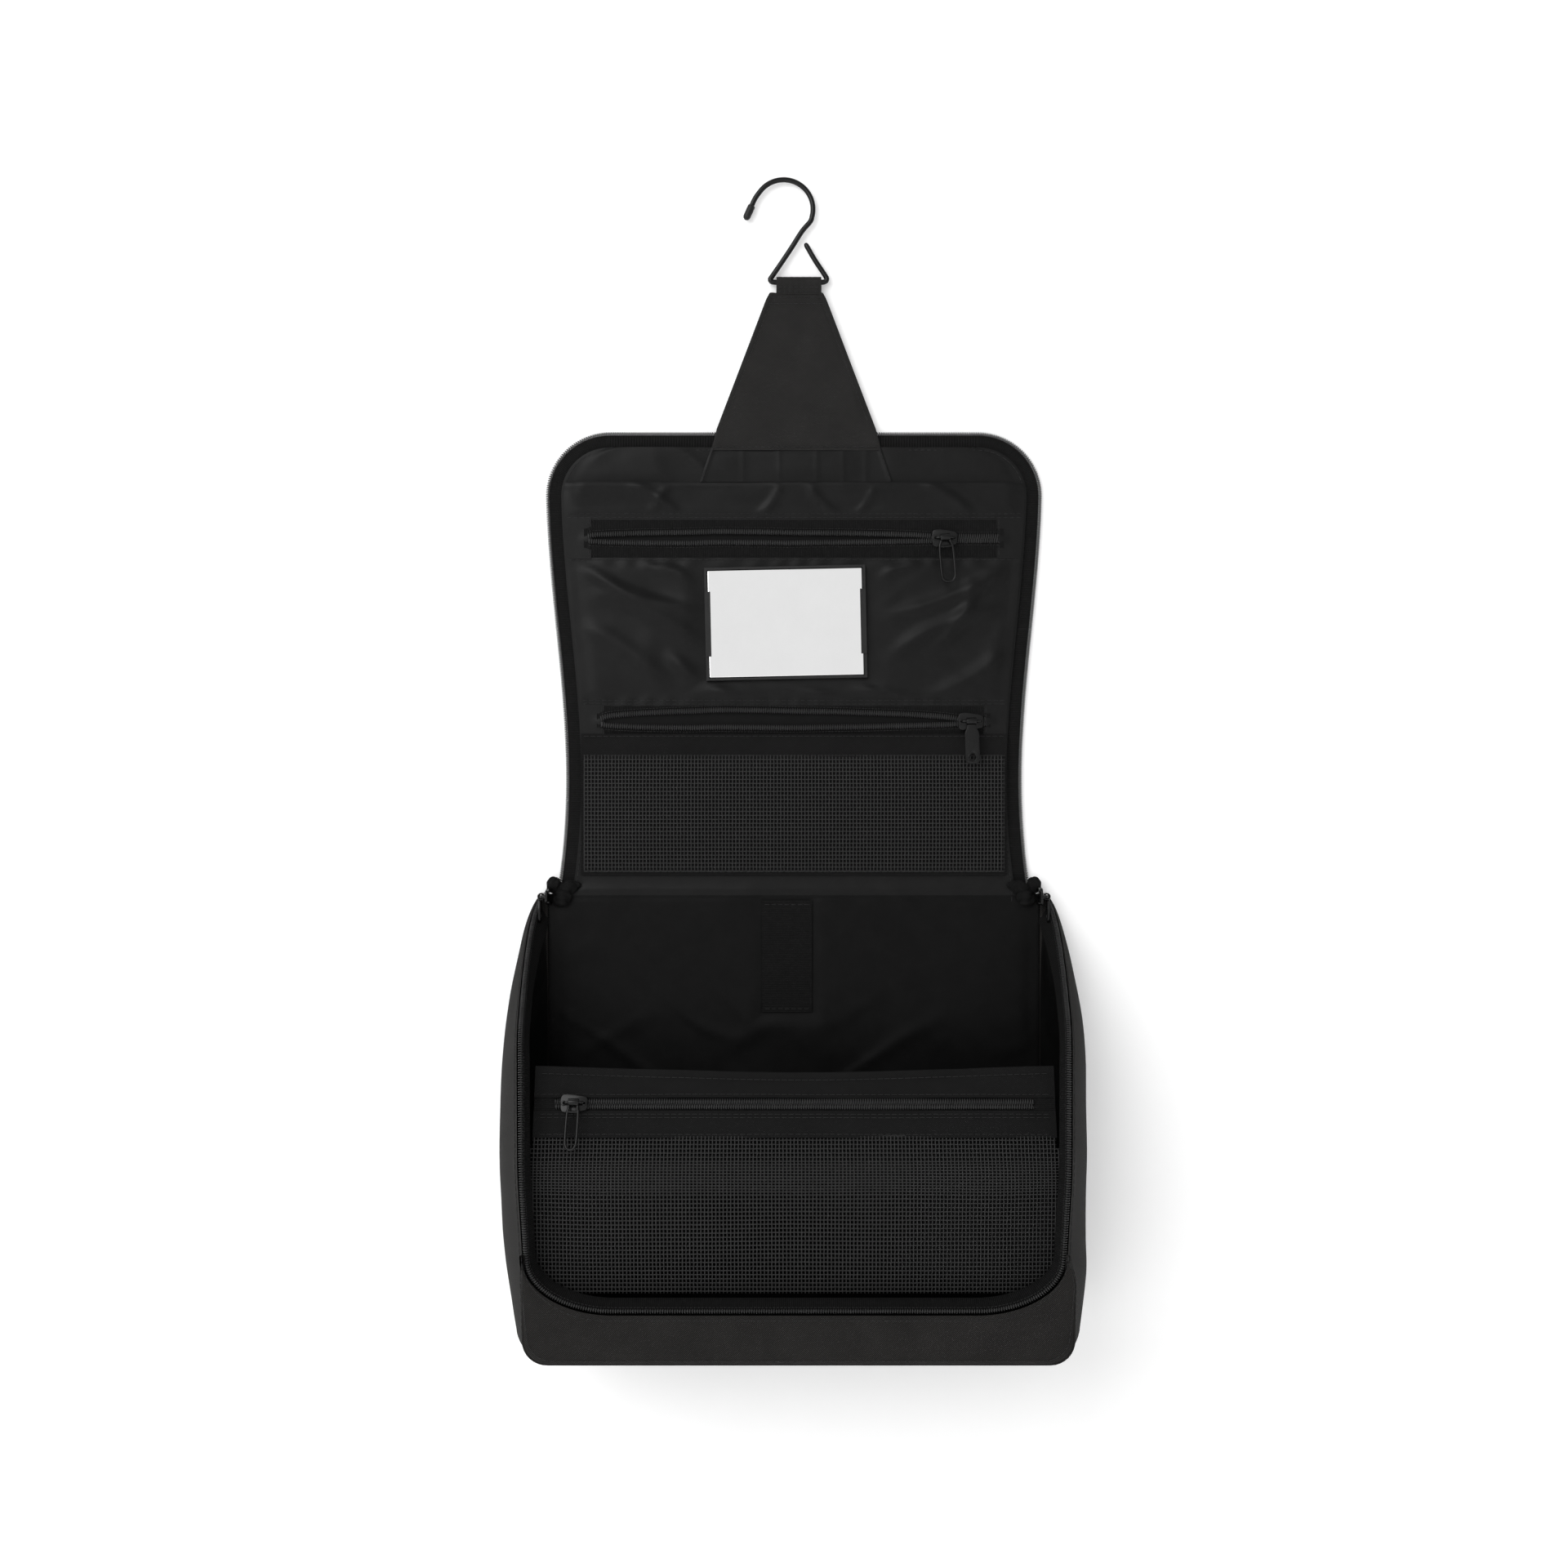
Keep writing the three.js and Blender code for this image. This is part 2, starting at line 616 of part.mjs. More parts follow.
function frontPanel() {
  const hornTop = 178;
  const panelN = 3;
  const half = rimHalf(hornTop) + 1.6;
  const bottom = rimAt(bodyHeight, panelN);
  const cornerR = bodyCornerR - 1;
  const outer = [[half, hornTop]];
  for (let i = 0; i <= 6; i += 1) {
    const angle = (Math.PI / 2) * (i / 6);
    outer.push([half - cornerR + cornerR * Math.cos(angle), bottom - cornerR + cornerR * Math.sin(angle)]);
  }
  const upper = rimPath(-0.3).filter(([, t]) => t > hornTop);
  return ontoRim(plate(outlineOf([...bothSides(outer), ...upper.reverse()]), cloth, panelN));
}
addPart(bag, "front_panel", frontPanel(), canvas);

const bandFront = wall - 2 * cloth - 2 * gap;
addPart(bag, "elastic_band", block(-14.8, 8.4, bandFront - 0.8, bandFront - gap + 0.1, -58, -6), ribbon);

// ---- body: mesh pocket in the front of the opening -----------------------
const pocketN = 16;            // the pocket's face lies this far inside the closed lid
const pocketZipT = 117.3;
const pocketTop = 101;
const pocketBandEnd = 131.6;
const pocketBottom = 206;
const pocketPanelHalf = 113;
const pocketFace = new THREE.Group();
const [faceY, faceZ] = rim(pocketZipT, pocketN);
pocketFace.position.set(0, faceY, faceZ);
pocketFace.rotation.x = Math.PI / 2 - radians(lidAngles[1]);
bag.add(pocketFace);

const bandOutline = rectangle(
  -pocketPanelHalf, pocketPanelHalf, pocketZipT - pocketBandEnd, pocketZipT - pocketTop,
);
const slotHalf = chainHalf + chainR + gap;
const pocketZipHalf = 104;
bandOutline.holes.push(rectangle(-pocketZipHalf, pocketZipHalf, -slotHalf, slotHalf));
addPart(pocketFace, "front_pocket_band", plate(bandOutline, cloth, -cloth), canvas);
for (const [name, sign] of [["upper", 1], ["lower", -1]]) {
  const from = new THREE.Vector3(gap - pocketZipHalf, sign * chainHalf, 0.2);
  const to = new THREE.Vector3(-from.x, from.y, from.z);
  const path = new THREE.LineCurve3(from, to);
  addPart(pocketFace, `zip_three_coil_${name}`, rod(path, chainR, 6, 1), nylonCoil);
}
addSlider(pocketFace, "zip_three", -95.4, 0, 0.2, wirePuller);

function pocketSheet(low, high, n, thickness) {
  return bentBox(1, 14, (u, v, w) => {
    const [y, z] = rim(low + (high - low) * v, n + thickness * w);
    return [pocketPanelHalf * (2 * u - 1), y, z];
  });
}
addPart(bag, "front_pocket_mesh", pocketSheet(pocketBandEnd + gap, pocketBottom, pocketN, cloth), netting);
addPart(bag, "front_pocket_back", pocketSheet(pocketTop + 2, pocketBottom, pocketN + 3.6, 0.8), netting);

// ---- body: the two sliders of the long zip, parked at the waist -----------
for (const [name, side] of [["right", 1], ["left", -1]]) {
  const parked = new THREE.Group();
  parked.position.set(side * 112.2, -5.2, -4);
  parked.quaternion.setFromRotationMatrix(new THREE.Matrix4().makeBasis(
    new THREE.Vector3(0, side, 0), new THREE.Vector3(0, 0, 1), new THREE.Vector3(side, 0, 0),
  ));
  bag.add(parked);
  addSlider(parked, `main_${name}`, 0, 0, 0, [12.5, 6.4, 7.4, 11, 1.6]);
}

export default group;
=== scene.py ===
"""Looks of the hanging toiletry bag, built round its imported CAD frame.

Shapes are worked out in millimetres. Lid pieces are drawn in (x, t, n): across, up from
the waist, and out from the cloth. Body pieces follow the closed lid's profile."""
import math

import bmesh
import bpy
import numpy as np
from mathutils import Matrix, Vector


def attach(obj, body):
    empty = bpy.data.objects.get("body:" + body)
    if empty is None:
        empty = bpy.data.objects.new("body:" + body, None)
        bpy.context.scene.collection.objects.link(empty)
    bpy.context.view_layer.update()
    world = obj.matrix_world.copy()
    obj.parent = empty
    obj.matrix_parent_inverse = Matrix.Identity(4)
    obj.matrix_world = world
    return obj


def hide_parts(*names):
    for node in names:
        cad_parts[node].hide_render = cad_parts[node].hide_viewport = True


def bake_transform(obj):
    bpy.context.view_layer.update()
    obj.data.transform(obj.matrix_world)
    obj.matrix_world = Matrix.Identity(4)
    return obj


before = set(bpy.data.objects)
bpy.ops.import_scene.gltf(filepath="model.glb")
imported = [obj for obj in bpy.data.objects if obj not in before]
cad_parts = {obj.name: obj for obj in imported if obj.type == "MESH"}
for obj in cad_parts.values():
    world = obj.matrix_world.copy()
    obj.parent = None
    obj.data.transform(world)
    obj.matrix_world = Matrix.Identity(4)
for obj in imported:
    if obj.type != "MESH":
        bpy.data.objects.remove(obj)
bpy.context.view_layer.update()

# ---- driving dimensions, as in the CAD part -------------------------------
MM = 0.001
BAG_X = 4.6            # the bag's middle, beside the hook's crown
WAIST_Z = -328.0       # the hinge between the lid and the body, below the crown
LID_LENGTH = 212.0
BEND_LOW = 88.0        # the closed lid bends at these heights above the waist
BEND_TOP = 152.0
LID_ANGLES = (49.15, 19.5, -4.6)   # slopes of its three lengths once closed, in degrees
LID_CORNER = 30.0
NECK_HALF = 106.3      # the lid's least half width, and its height above the waist
NECK_T = 50
BODY_HEIGHT = 199.0
BACK_HALF = 114.0
BODY_CORNER = 10.0
RIM_CORNER_X = 38.0    # the opening's lower corners are this wide and this tall
RIM_CORNER_T = 24.0
RIM_END = LID_LENGTH - 1
RIM_SEAM_N = 5.2       # the boxing meets the zip tape this far inside the closed lid
SEAM_N = 3.0           # and the front panel this far
SIDE_BULGE = 14        # how far the full sides stand out
RIGHT_FULLNESS = 0.95  # the right side's share of that
RIGHT_LOW = 3.2        # the right side stands out this much more near its bottom
BOTTOM_SAG = 1.4       # the loaded bag's bottom hangs this far below its seams
HORN = 185.0           # where the front panel's pointed ends start, along the zip line
POCKET_HALF = 98.8     # the lid net's half width
FACE_N = 16.0          # the front pocket's face lies this far inside the closed lid
FACE_HALF = 113.0
POCKET_CHAIN = 117.3   # the front pocket's zip, along the closed lid
SPLIT_LOW = 40.0       # the lid's cloth is cut into pieces here, between its bends
SPLIT_TOP = 120.0


# ---- numbers ---------------------------------------------------------------
def smooth(value):
    value = np.clip(value, 0, 1)
    return value * value * (3 - 2 * value)


def ridge(value, centre, width):
    """A bell curve of height 1 at the centre."""
    return np.exp(-((value - centre) / width) ** 2)


def travelled(path):
    """How far along a polyline each of its points lies."""
    return np.concatenate([[0], np.cumsum(np.linalg.norm(np.diff(path, axis=0), axis=1))])


def value_noise(x, y, seed):
    """Smooth noise from -1 to 1 with features about one unit across."""
    lattice = np.random.RandomState(seed).rand(64, 64) * 2 - 1
    x0, y0 = np.floor(x).astype(int), np.floor(y).astype(int)
    fx, fy = smooth(x - x0), smooth(y - y0)

    def at(i, j):
        return lattice[(x0 + i) % 64, (y0 + j) % 64]

    low = at(0, 0) * (1 - fx) + at(1, 0) * fx
    high = at(0, 1) * (1 - fx) + at(1, 1) * fx
    return low * (1 - fy) + high * fy


def folds(x, y, angle, wide, long, seed):
    """Soft ridges from 0 to 1 that run along an angle, some wide apart and long."""
    turn = math.radians(angle)
    along = x * math.cos(turn) + y * math.sin(turn)
    across = y * math.cos(turn) - x * math.sin(turn)
    sway = 2.5 * value_noise(along / 25, across / 25, seed + 7)
    level = value_noise((across + sway) / wide, along / long, seed)
    return ridge(level, 0, 0.33)


def wrinkles(x, t, seed, height=1.0):
    """How far glossy lining stands off its plane, from broad waves down to fine creases."""
    def patches(wide, tall, layer):
        return 0.5 + 0.5 * value_noise(x / wide, t / tall, seed + layer)

    broad = patches(34, 22, 0)
    long_folds = folds(x, t, 34, 19, 56, seed + 1) * patches(44, 36, 2)
    cross_folds = folds(x, t, -38, 17, 50, seed + 3) * patches(50, 40, 4)
    ripples = value_noise((x + 0.6 * t) / 9, t / 14, seed + 5)
    return height * (0.8 * broad + 1.3 * long_folds + 1.1 * cross_folds + 0.22 * ripples)


def creases(x, t, lines):
    """Soft ridges along given lines, each bowed to one side in the middle."""
    total = 0
    for (x0, t0), (x1, t1), bow, width, height in lines:
        length = math.hypot(x1 - x0, t1 - t0)
        run_x, run_t = (x1 - x0) / length, (t1 - t0) / length
        along = ((x - x0) * run_x + (t - t0) * run_t) / length
        across = (t - t0) * run_x - (x - x0) * run_t - bow * 4 * along * (1 - along)
        fade = smooth(along / 0.25) * smooth((1 - along) / 0.35)
        total = total + height * ridge(across, 0, width) * fade
    return total


# ---- the bag's surfaces ------------------------------------------------------
def lid_half(t):
    """Half width of the open lid to the outside of its coil: narrowest above the waist."""
    t = np.asarray(t, float)
    low = NECK_HALF + 3.7 * ((NECK_T - t) / NECK_T) ** 2
    return np.where(t < NECK_T, low, NECK_HALF + 9.4 * smooth((t - NECK_T) / 140))


def panel_half(t, inset):
    """Half width of the lid's panels, with the top corners rounded."""
    corner_start = LID_LENGTH - LID_CORNER
    centre = float(lid_half(corner_start)) - LID_CORNER
    rise = np.clip(t - corner_start, 0, LID_CORNER - inset)
    rounded = centre + np.sqrt(np.maximum((LID_CORNER - inset) ** 2 - rise**2, 0))
    return np.where(t > corner_start, rounded, lid_half(t) - inset)


def lid_point(x, t, n):
    """A point on the open lid, or on the back below it."""
    x, t, n = np.broadcast_arrays(x, t, n)
    return np.stack([BAG_X + x, -n, WAIST_Z + t], -1)


RIM_T = np.linspace(-30, 260, 2901)


def rim_angle(t):
    """The closed lid's slope, which turns evenly over 20 mm at each bend."""
    low = np.clip((t - BEND_LOW + 10) / 20, 0, 1)
    top = np.clip((t - BEND_TOP + 10) / 20, 0, 1)
    first, second, third = LID_ANGLES
    return np.radians(first + (second - first) * low + (third - second) * top)


def running_length(values):
    """The sum of the values along RIM_T, from 0 at the waist."""
    steps = (values[1:] + values[:-1]) / 2 * (RIM_T[1] - RIM_T[0])
    total = np.concatenate([[0], np.cumsum(steps)])
    return total - np.interp(0, RIM_T, total)


RIM_DEPTH = running_length(np.sin(rim_angle(RIM_T)))
RIM_DROP = running_length(np.cos(rim_angle(RIM_T)))


def rim(t, n):
    """The closed lid's profile as (y, z) below the waist; n is the distance inside it."""
    angle = rim_angle(t)
    depth = np.interp(t, RIM_T, RIM_DEPTH)
    drop = np.interp(t, RIM_T, RIM_DROP)
    return -(depth - n * np.cos(angle)), -(drop + n * np.sin(angle))


def rim_at(drop, n):
    """The profile's t where its line n inside has the given drop."""
    drop, n = np.broadcast_arrays(np.asarray(drop, float), np.asarray(n, float))
    low, high = np.zeros(drop.shape), np.full(drop.shape, LID_LENGTH + 30)
    for _ in range(30):
        middle = (low + high) / 2
        short = -rim(middle, n)[1] < drop
        low, high = np.where(short, middle, low), np.where(short, high, middle)
    return low


def rim_point(x, t, n):
    """A point n inside the closed lid's profile."""
    x, t, n = np.broadcast_arrays(x, t, n)
    y, z = rim(t, n)
    return np.stack([BAG_X + x, y, WAIST_Z + z], -1)


def rim_half(t):
    """Half width of the body's opening along its zip line."""
    share = np.clip(np.asarray(t, float) / 190, 0, 1)
    return 115 + 6.6 * np.sin(np.pi * share**0.42)


def side_bulge(drop):
    """How far the side stands out between its back and front edges, at a drop below the waist."""
    return SIDE_BULGE * np.sin(np.pi * (np.clip(drop, 0, 210) / 212) ** 1.15) ** 0.6


def right_flare(t):
    """How much further out the front panel's right edge lies than its left, low down."""
    return RIGHT_LOW * smooth((t - HORN) / 14)


# ---- mesh helpers --------------------------------------------------------------
def make_object(name, points, faces, material, uv=None, loop_normals=None):
    """A mesh object from points in millimetres, with UVs for each point."""
    mesh = bpy.data.meshes.new(name)
    mesh.from_pydata((np.asarray(points) * MM).tolist(), [], faces)
    mesh.polygons.foreach_set("use_smooth", [True] * len(mesh.polygons))
    if uv is not None:
        corner = np.zeros(len(mesh.loops), int)
        mesh.loops.foreach_get("vertex_index", corner)
        layer = mesh.uv_layers.new(name="cloth")
        layer.data.foreach_set("uv", np.asarray(uv, float)[corner].ravel())
    if loop_normals is not None:
        mesh.normals_split_custom_set(loop_normals.tolist())
    mesh.materials.append(material)
    obj = bpy.data.objects.new(name, mesh)
    bpy.context.scene.collection.objects.link(obj)
    return obj


def grid_normals(points):
    """The unit normals of a grid of points."""
    across = np.gradient(points, axis=1)
    along = np.gradient(points, axis=0)
    normals = np.cross(across, along)
    length = np.linalg.norm(normals, axis=-1, keepdims=True)
    return normals / np.maximum(length, 1e-9)


def sheet_mesh(name, points, thickness, material, uv, normals=None):
    """A sheet of cloth over a grid of points, thick on the side away from its normals."""
    if normals is None:
        normals = grid_normals(points)
    rows, cols = points.shape[:2]
    count = rows * cols
    index = np.arange(count).reshape(rows, cols)
    a, b = index[:-1, :-1].ravel(), index[:-1, 1:].ravel()
    c, d = index[1:, 1:].ravel(), index[1:, :-1].ravel()
    front = np.stack([a, b, c, d], 1)
    back = np.stack([a, d, c, b], 1) + count
    border = np.concatenate([index[0], index[1:, -1], index[-1, -2::-1], index[-2:0:-1, 0]])
    after = np.roll(border, -1)
    edge = np.stack([after, border, border + count, after + count], 1)
    faces = np.concatenate([front, back, edge]).tolist()
    verts = np.concatenate([points.reshape(-1, 3), (points - normals * thickness).reshape(-1, 3)])
    flat = normals.reshape(-1, 3)
    inward = verts[edge[:, 3]] - verts[edge[:, 0]]
    rim_normals = np.cross(verts[edge[:, 1]] - verts[edge[:, 0]], inward)
    rim_normals /= np.maximum(np.linalg.norm(rim_normals, axis=1, keepdims=True), 1e-9)
    loops = np.concatenate([
        flat[front.ravel()], -flat[back.ravel() - count], -np.repeat(rim_normals, 4, axis=0),
    ])
    coords = np.asarray(uv).reshape(-1, 2)
    return make_object(name, verts, faces, material, np.concatenate([coords, coords]), loops)


def grid(xs, ts):
    """A grid of x and t, with one row for each t."""
    return np.repeat(xs[None], len(ts), 0), np.repeat(ts[:, None], len(xs), 1)


def resample(points, step):
    """Points along a polyline, evenly spaced by about one step."""
    points = np.asarray(points, float)
    length = travelled(points)
    count = max(2, int(round(length[-1] / step)) + 1)
    places = np.linspace(0, length[-1], count)
    return np.stack([np.interp(places, length, points[:, i]) for i in range(points.shape[1])], 1)


def spline(points, step):
    """A smooth curve through the points, evenly spaced."""
    points = np.asarray(points, float)
    ends = np.vstack([2 * points[0] - points[1], points, 2 * points[-1] - points[-2]])
    out = []
    for p0, p1, p2, p3 in zip(ends, ends[1:], ends[2:], ends[3:]):
        for s in np.linspace(0, 1, 12, endpoint=False):
            out.append(0.5 * (2 * p1 + (p2 - p0) * s + (2 * p0 - 5 * p1 + 4 * p2 - p3) * s**2
                              + (3 * p1 - p0 - 3 * p2 + p3) * s**3))
    out.append(points[-1])
    return resample(out, step)


def steady_up(tangent):
    """An up direction at each point of a path that turns no more than the path does."""
    frame_up = np.zeros_like(tangent)
    last = np.array([0.0, -1.0, 0.0])
    if abs(tangent[0] @ last) > 0.9:
        last = np.array([1.0, 0.0, 0.0])
    for i, direction in enumerate(tangent):
        last = last - direction * (last @ direction)
        last = last / max(np.linalg.norm(last), 1e-9)
        frame_up[i] = last
    return frame_up


def tube(path, radius, sides=8, closed=False, flat=1.0, up=None):
    """A round or flattened tube along a path: its points, faces and UVs. Flat scales it along up."""
    path = np.asarray(path, float)
    if closed:
        tangent = np.roll(path, -1, 0) - np.roll(path, 1, 0)
    else:
        tangent = np.gradient(path, axis=0)
    tangent /= np.maximum(np.linalg.norm(tangent, axis=1, keepdims=True), 1e-9)
    if up is None:
        frame_up = steady_up(tangent)
    else:
        frame_up = np.broadcast_to(np.asarray(up, float), path.shape)
        frame_up = frame_up - tangent * np.sum(frame_up * tangent, 1, keepdims=True)
        frame_up = frame_up / np.maximum(np.linalg.norm(frame_up, axis=1, keepdims=True), 1e-9)
    side = np.cross(tangent, frame_up)
    angles = np.linspace(0, 2 * np.pi, sides, endpoint=False)
    radius = np.broadcast_to(np.asarray(radius, float), (len(path),))[:, None, None]
    ring = (side[:, None] * np.cos(angles)[None, :, None]
            + frame_up[:, None] * np.sin(angles)[None, :, None] * flat)
    points = (path[:, None] + ring * radius).reshape(-1, 3)
    rows = len(path)
    index = np.arange(rows * sides).reshape(rows, sides)
    first_rows = index if closed else index[:-1]
    next_rows = np.roll(index, -1, 0) if closed else index[1:]
    quads = np.stack([first_rows, next_rows, np.roll(next_rows, -1, 1), np.roll(first_rows, -1, 1)], -1)
    faces = quads.reshape(-1, 4).tolist()
    if not closed:
        faces.append(index[0].tolist())
        faces.append(index[-1][::-1].tolist())
    uv = np.stack(np.broadcast_arrays(travelled(path)[:, None], np.arange(sides)[None] * 0.5), -1)
    return points, faces, uv.reshape(-1, 2)


def merged(parts):
    """Several (points, faces, uv) as one."""
    points, faces, uvs, start = [], [], [], 0
    for part_points, part_faces, part_uv in parts:
        points.append(part_points)
        uvs.append(part_uv)
        faces += [[i + start for i in face] for face in part_faces]
        start += len(part_points)
    return np.concatenate(points), faces, np.concatenate(uvs)


def tubes_object(name, parts, material):
    """Several parts as one object."""
    points, faces, uv = merged(parts)
    return make_object(name, points, faces, material, uv)


# ---- materials -------------------------------------------------------------------
class Nodes:
    """Builds one material's nodes with short calls."""

    def __init__(self, name):
        self.material = bpy.data.materials.new(name)
        self.material.use_nodes = True
        self.tree = self.material.node_tree
        self.shader = self.tree.nodes["Principled BSDF"]

    def add(self, kind, **settings):
        node = self.tree.nodes.new(kind)
        for key, value in settings.items():
            setattr(node, key, value)
        return node

    def link(self, source, target):
        self.tree.links.new(source, target)

    def math(self, operation, first, second=0.0):
        node = self.add("ShaderNodeMath", operation=operation)
        for socket, value in zip(node.inputs, (first, second)):
            if isinstance(value, (int, float)):
                socket.default_value = value
            else:
                self.link(value, socket)
        return node.outputs[0]

    def uv(self):
        """The cloth's own coordinates in millimetres, across and along."""
        node = self.add("ShaderNodeUVMap", uv_map="cloth")
        split = self.add("ShaderNodeSeparateXYZ")
        self.link(node.outputs[0], split.inputs[0])
        return split.outputs[0], split.outputs[1]

    def place(self):
        """The point in the object's own space, in metres."""
        return self.add("ShaderNodeTexCoord").outputs["Object"]

    def noise(self, vector, scale, detail=3.0, roughness=0.55):
        node = self.add("ShaderNodeTexNoise")
        self.link(vector, node.inputs["Vector"])
        node.inputs["Scale"].default_value = scale
        node.inputs["Detail"].default_value = detail
        node.inputs["Roughness"].default_value = roughness
        return node.outputs["Fac"]

    def wave(self, value, pitch):
        """A sine from 0 to 1 that repeats every pitch millimetres."""
        sine = self.math("SINE", self.math("MULTIPLY", value, 2 * math.pi / pitch))
        return self.math("MULTIPLY_ADD", sine, 0.5)

    def colour(self, factor, dark, light):
        ramp = self.add("ShaderNodeValToRGB")
        ramp.color_ramp.elements[0].color = (*dark, 1)
        ramp.color_ramp.elements[1].color = (*light, 1)
        self.link(factor, ramp.inputs[0])
        self.link(ramp.outputs[0], self.shader.inputs["Base Color"])

    def bump(self, height, strength, distance):
        node = self.add("ShaderNodeBump")
        node.inputs["Strength"].default_value = strength
        node.inputs["Distance"].default_value = distance
        self.link(height, node.inputs["Height"])
        self.link(node.outputs[0], self.shader.inputs["Normal"])

    def roughness(self, factor, low, high):
        spread = self.add("ShaderNodeMapRange")
        spread.inputs["To Min"].default_value = low
        spread.inputs["To Max"].default_value = high
        self.link(factor, spread.inputs["Value"])
        self.link(spread.outputs[0], self.shader.inputs["Roughness"])

    def set(self, **values):
        for key, value in values.items():
            self.shader.inputs[key.replace("_", " ")].default_value = value
        return self.material


def grey(value, warm=0.0):
    """A grey of this brightness, a little redder when it is warm."""
    return (value * (1 + warm), value, value * (1 - warm))


def twill(name, dark, light, pitch=1.05):
    """Diagonal ribs of twill, each yarn crossed by a finer one, with soft mottling."""
    made = Nodes(name)
    across, along = made.uv()
    rib = made.wave(made.math("SUBTRACT", across, along), pitch)
    yarn = made.wave(made.math("ADD", across, along), pitch * 0.62)
    weave = made.math("MULTIPLY", rib, made.math("MULTIPLY_ADD", yarn, 0.45))
    mottle = made.noise(made.place(), 60, 4)
    fuzz = made.noise(made.place(), 1400, 2)
    shade = made.math("ADD", made.math("MULTIPLY", weave, 0.8), made.math("MULTIPLY", mottle, 0.4))
    made.colour(made.math("SUBTRACT", shade, 0.1), dark, light)
    made.roughness(mottle, 0.72, 0.92)
    made.bump(made.math("ADD", weave, made.math("MULTIPLY", fuzz, 0.4)), 0.6, 0.0003)
    return made.set(Specular_IOR_Level=0.08, Sheen_Weight=0.02, Sheen_Roughness=0.6)


def glossy_lining(name, dark, light, gloss):
    """Calendered nylon: smooth and shiny, with a plain weave too fine to count."""
    made = Nodes(name)
    across, along = made.uv()
    weave = made.math("MULTIPLY", made.wave(across, 0.36), made.wave(along, 0.36))
    crease_and_shade = made.noise(made.place(), 120, 4, 0.5)
    patches = made.noise(made.place(), 24, 3)
    # The colour follows the crease noise that also bumps the cloth: painted highlight on the raised
    # creases and painted shade in their hollows.
    made.colour(made.math("ADD", made.math("MULTIPLY", crease_and_shade, 0.6), made.math("MULTIPLY", weave, 0.3)),
                dark, light)
    made.roughness(patches, 0.36, 0.5)
    made.bump(made.math("ADD", made.math("MULTIPLY", weave, 0.08), crease_and_shade), 0.14, 0.0009)
    return made.set(Specular_IOR_Level=gloss)


def ribbed_tape(name, dark, light):
    """Woven zip tape or elastic: fine ribs across its run and a herringbone of yarns."""
    made = Nodes(name)
    across, along = made.uv()
    rib = made.wave(along, 0.85)
    herring = made.wave(made.math("ADD", made.math("ABSOLUTE", made.math("SINE", across)), along), 0.6)
    weave = made.math("ADD", made.math("MULTIPLY", rib, 0.6), made.math("MULTIPLY", herring, 0.4))
    lint = made.noise(made.place(), 500, 3)
    made.colour(made.math("MULTIPLY", weave, made.math("ADD", lint, 0.3)), dark, light)
    made.roughness(lint, 0.68, 0.9)
    made.bump(weave, 0.6, 0.00025)
    return made.set(Specular_IOR_Level=0.08)


def spun_thread(name, dark, light, rough=0.7):
    """Twisted thread for nets and stitches."""
    made = Nodes(name)
    around, along = made.uv()
    twist = made.wave(made.math("ADD", around, along), 0.7)
    fuzz = made.noise(made.place(), 900, 3)
    made.colour(made.math("MULTIPLY", twist, made.math("ADD", fuzz, 0.4)), dark, light)
    made.roughness(fuzz, rough - 0.12, rough + 0.12)
    made.bump(twist, 0.4, 0.0001)
    return made.set(Specular_IOR_Level=0.15)


def moulded(name, dark, light, low, high, **values):
    """Lacquer, nylon or plastic: faint mottling, fine grain and slightly uneven gloss."""
    made = Nodes(name)
    wear = made.noise(made.place(), 160, 5)
    fine = made.noise(made.place(), 2600, 2)
    made.colour(wear, dark, light)
    made.roughness(wear, low, high)
    made.bump(fine, 0.12, 0.0001)
    return made.set(**values)


def silvered(name):
    """Mirror with the faintest waviness and a trace of dust."""
    made = Nodes(name)
    dust = made.noise(made.place(), 60, 6, 0.7)
    made.colour(dust, grey(0.90), grey(0.97))
    made.roughness(dust, 0.015, 0.05)
    made.bump(made.noise(made.place(), 9, 1), 0.02, 0.0005)
    return made.set(Metallic=1.0)


CANVAS = twill("canvas_twill", grey(0.004, 0.04), grey(0.032, 0.05), 0.9)
STRAP = twill("strap_twill", grey(0.008, 0.02), grey(0.034, 0.03), 0.75)
BAND = twill("pocket_band_twill", grey(0.0025), grey(0.014), 0.8)
LINING = glossy_lining("lining_nylon", grey(0.0018), grey(0.008), 0.15)
# A darker, duller copy of the lining: painted shade for lining inside the body, behind the lid's net and
# in the zip pockets.
SHADED_LINING = glossy_lining("lining_nylon_painted_shade", grey(0.0012), grey(0.0055), 0.09)
TAPE = ribbed_tape("zip_tape", grey(0.001), grey(0.014))
NET = spun_thread("net_thread", grey(0.012), grey(0.050), 0.55)
# A darker copy of the net thread for the net inside the front pocket: painted shade.
NET_BACK_SHADED = spun_thread("net_thread_painted_shade", grey(0.0025), grey(0.010), 0.6)
THREAD = spun_thread("sewing_thread", grey(0.006), grey(0.045))
COIL = moulded("nylon_coil", grey(0.008), grey(0.032), 0.3, 0.44, Specular_IOR_Level=0.35)
# A lighter copy of the coil for the lid's edge: painted highlight on its teeth.
COIL_LID_PAINTED_HIGHLIGHT = moulded("nylon_coil_painted_highlight", grey(0.022), grey(0.080), 0.34, 0.48, Specular_IOR_Level=0.4)
STEEL = moulded("black_lacquer", grey(0.002), grey(0.005), 0.16, 0.3,
                Specular_IOR_Level=0.22, Coat_Weight=0.05, Coat_Roughness=0.1)
PLASTIC = moulded("satin_plastic", grey(0.007), grey(0.014), 0.38, 0.55, Specular_IOR_Level=0.25)
MIRROR = silvered("mirror_silver")


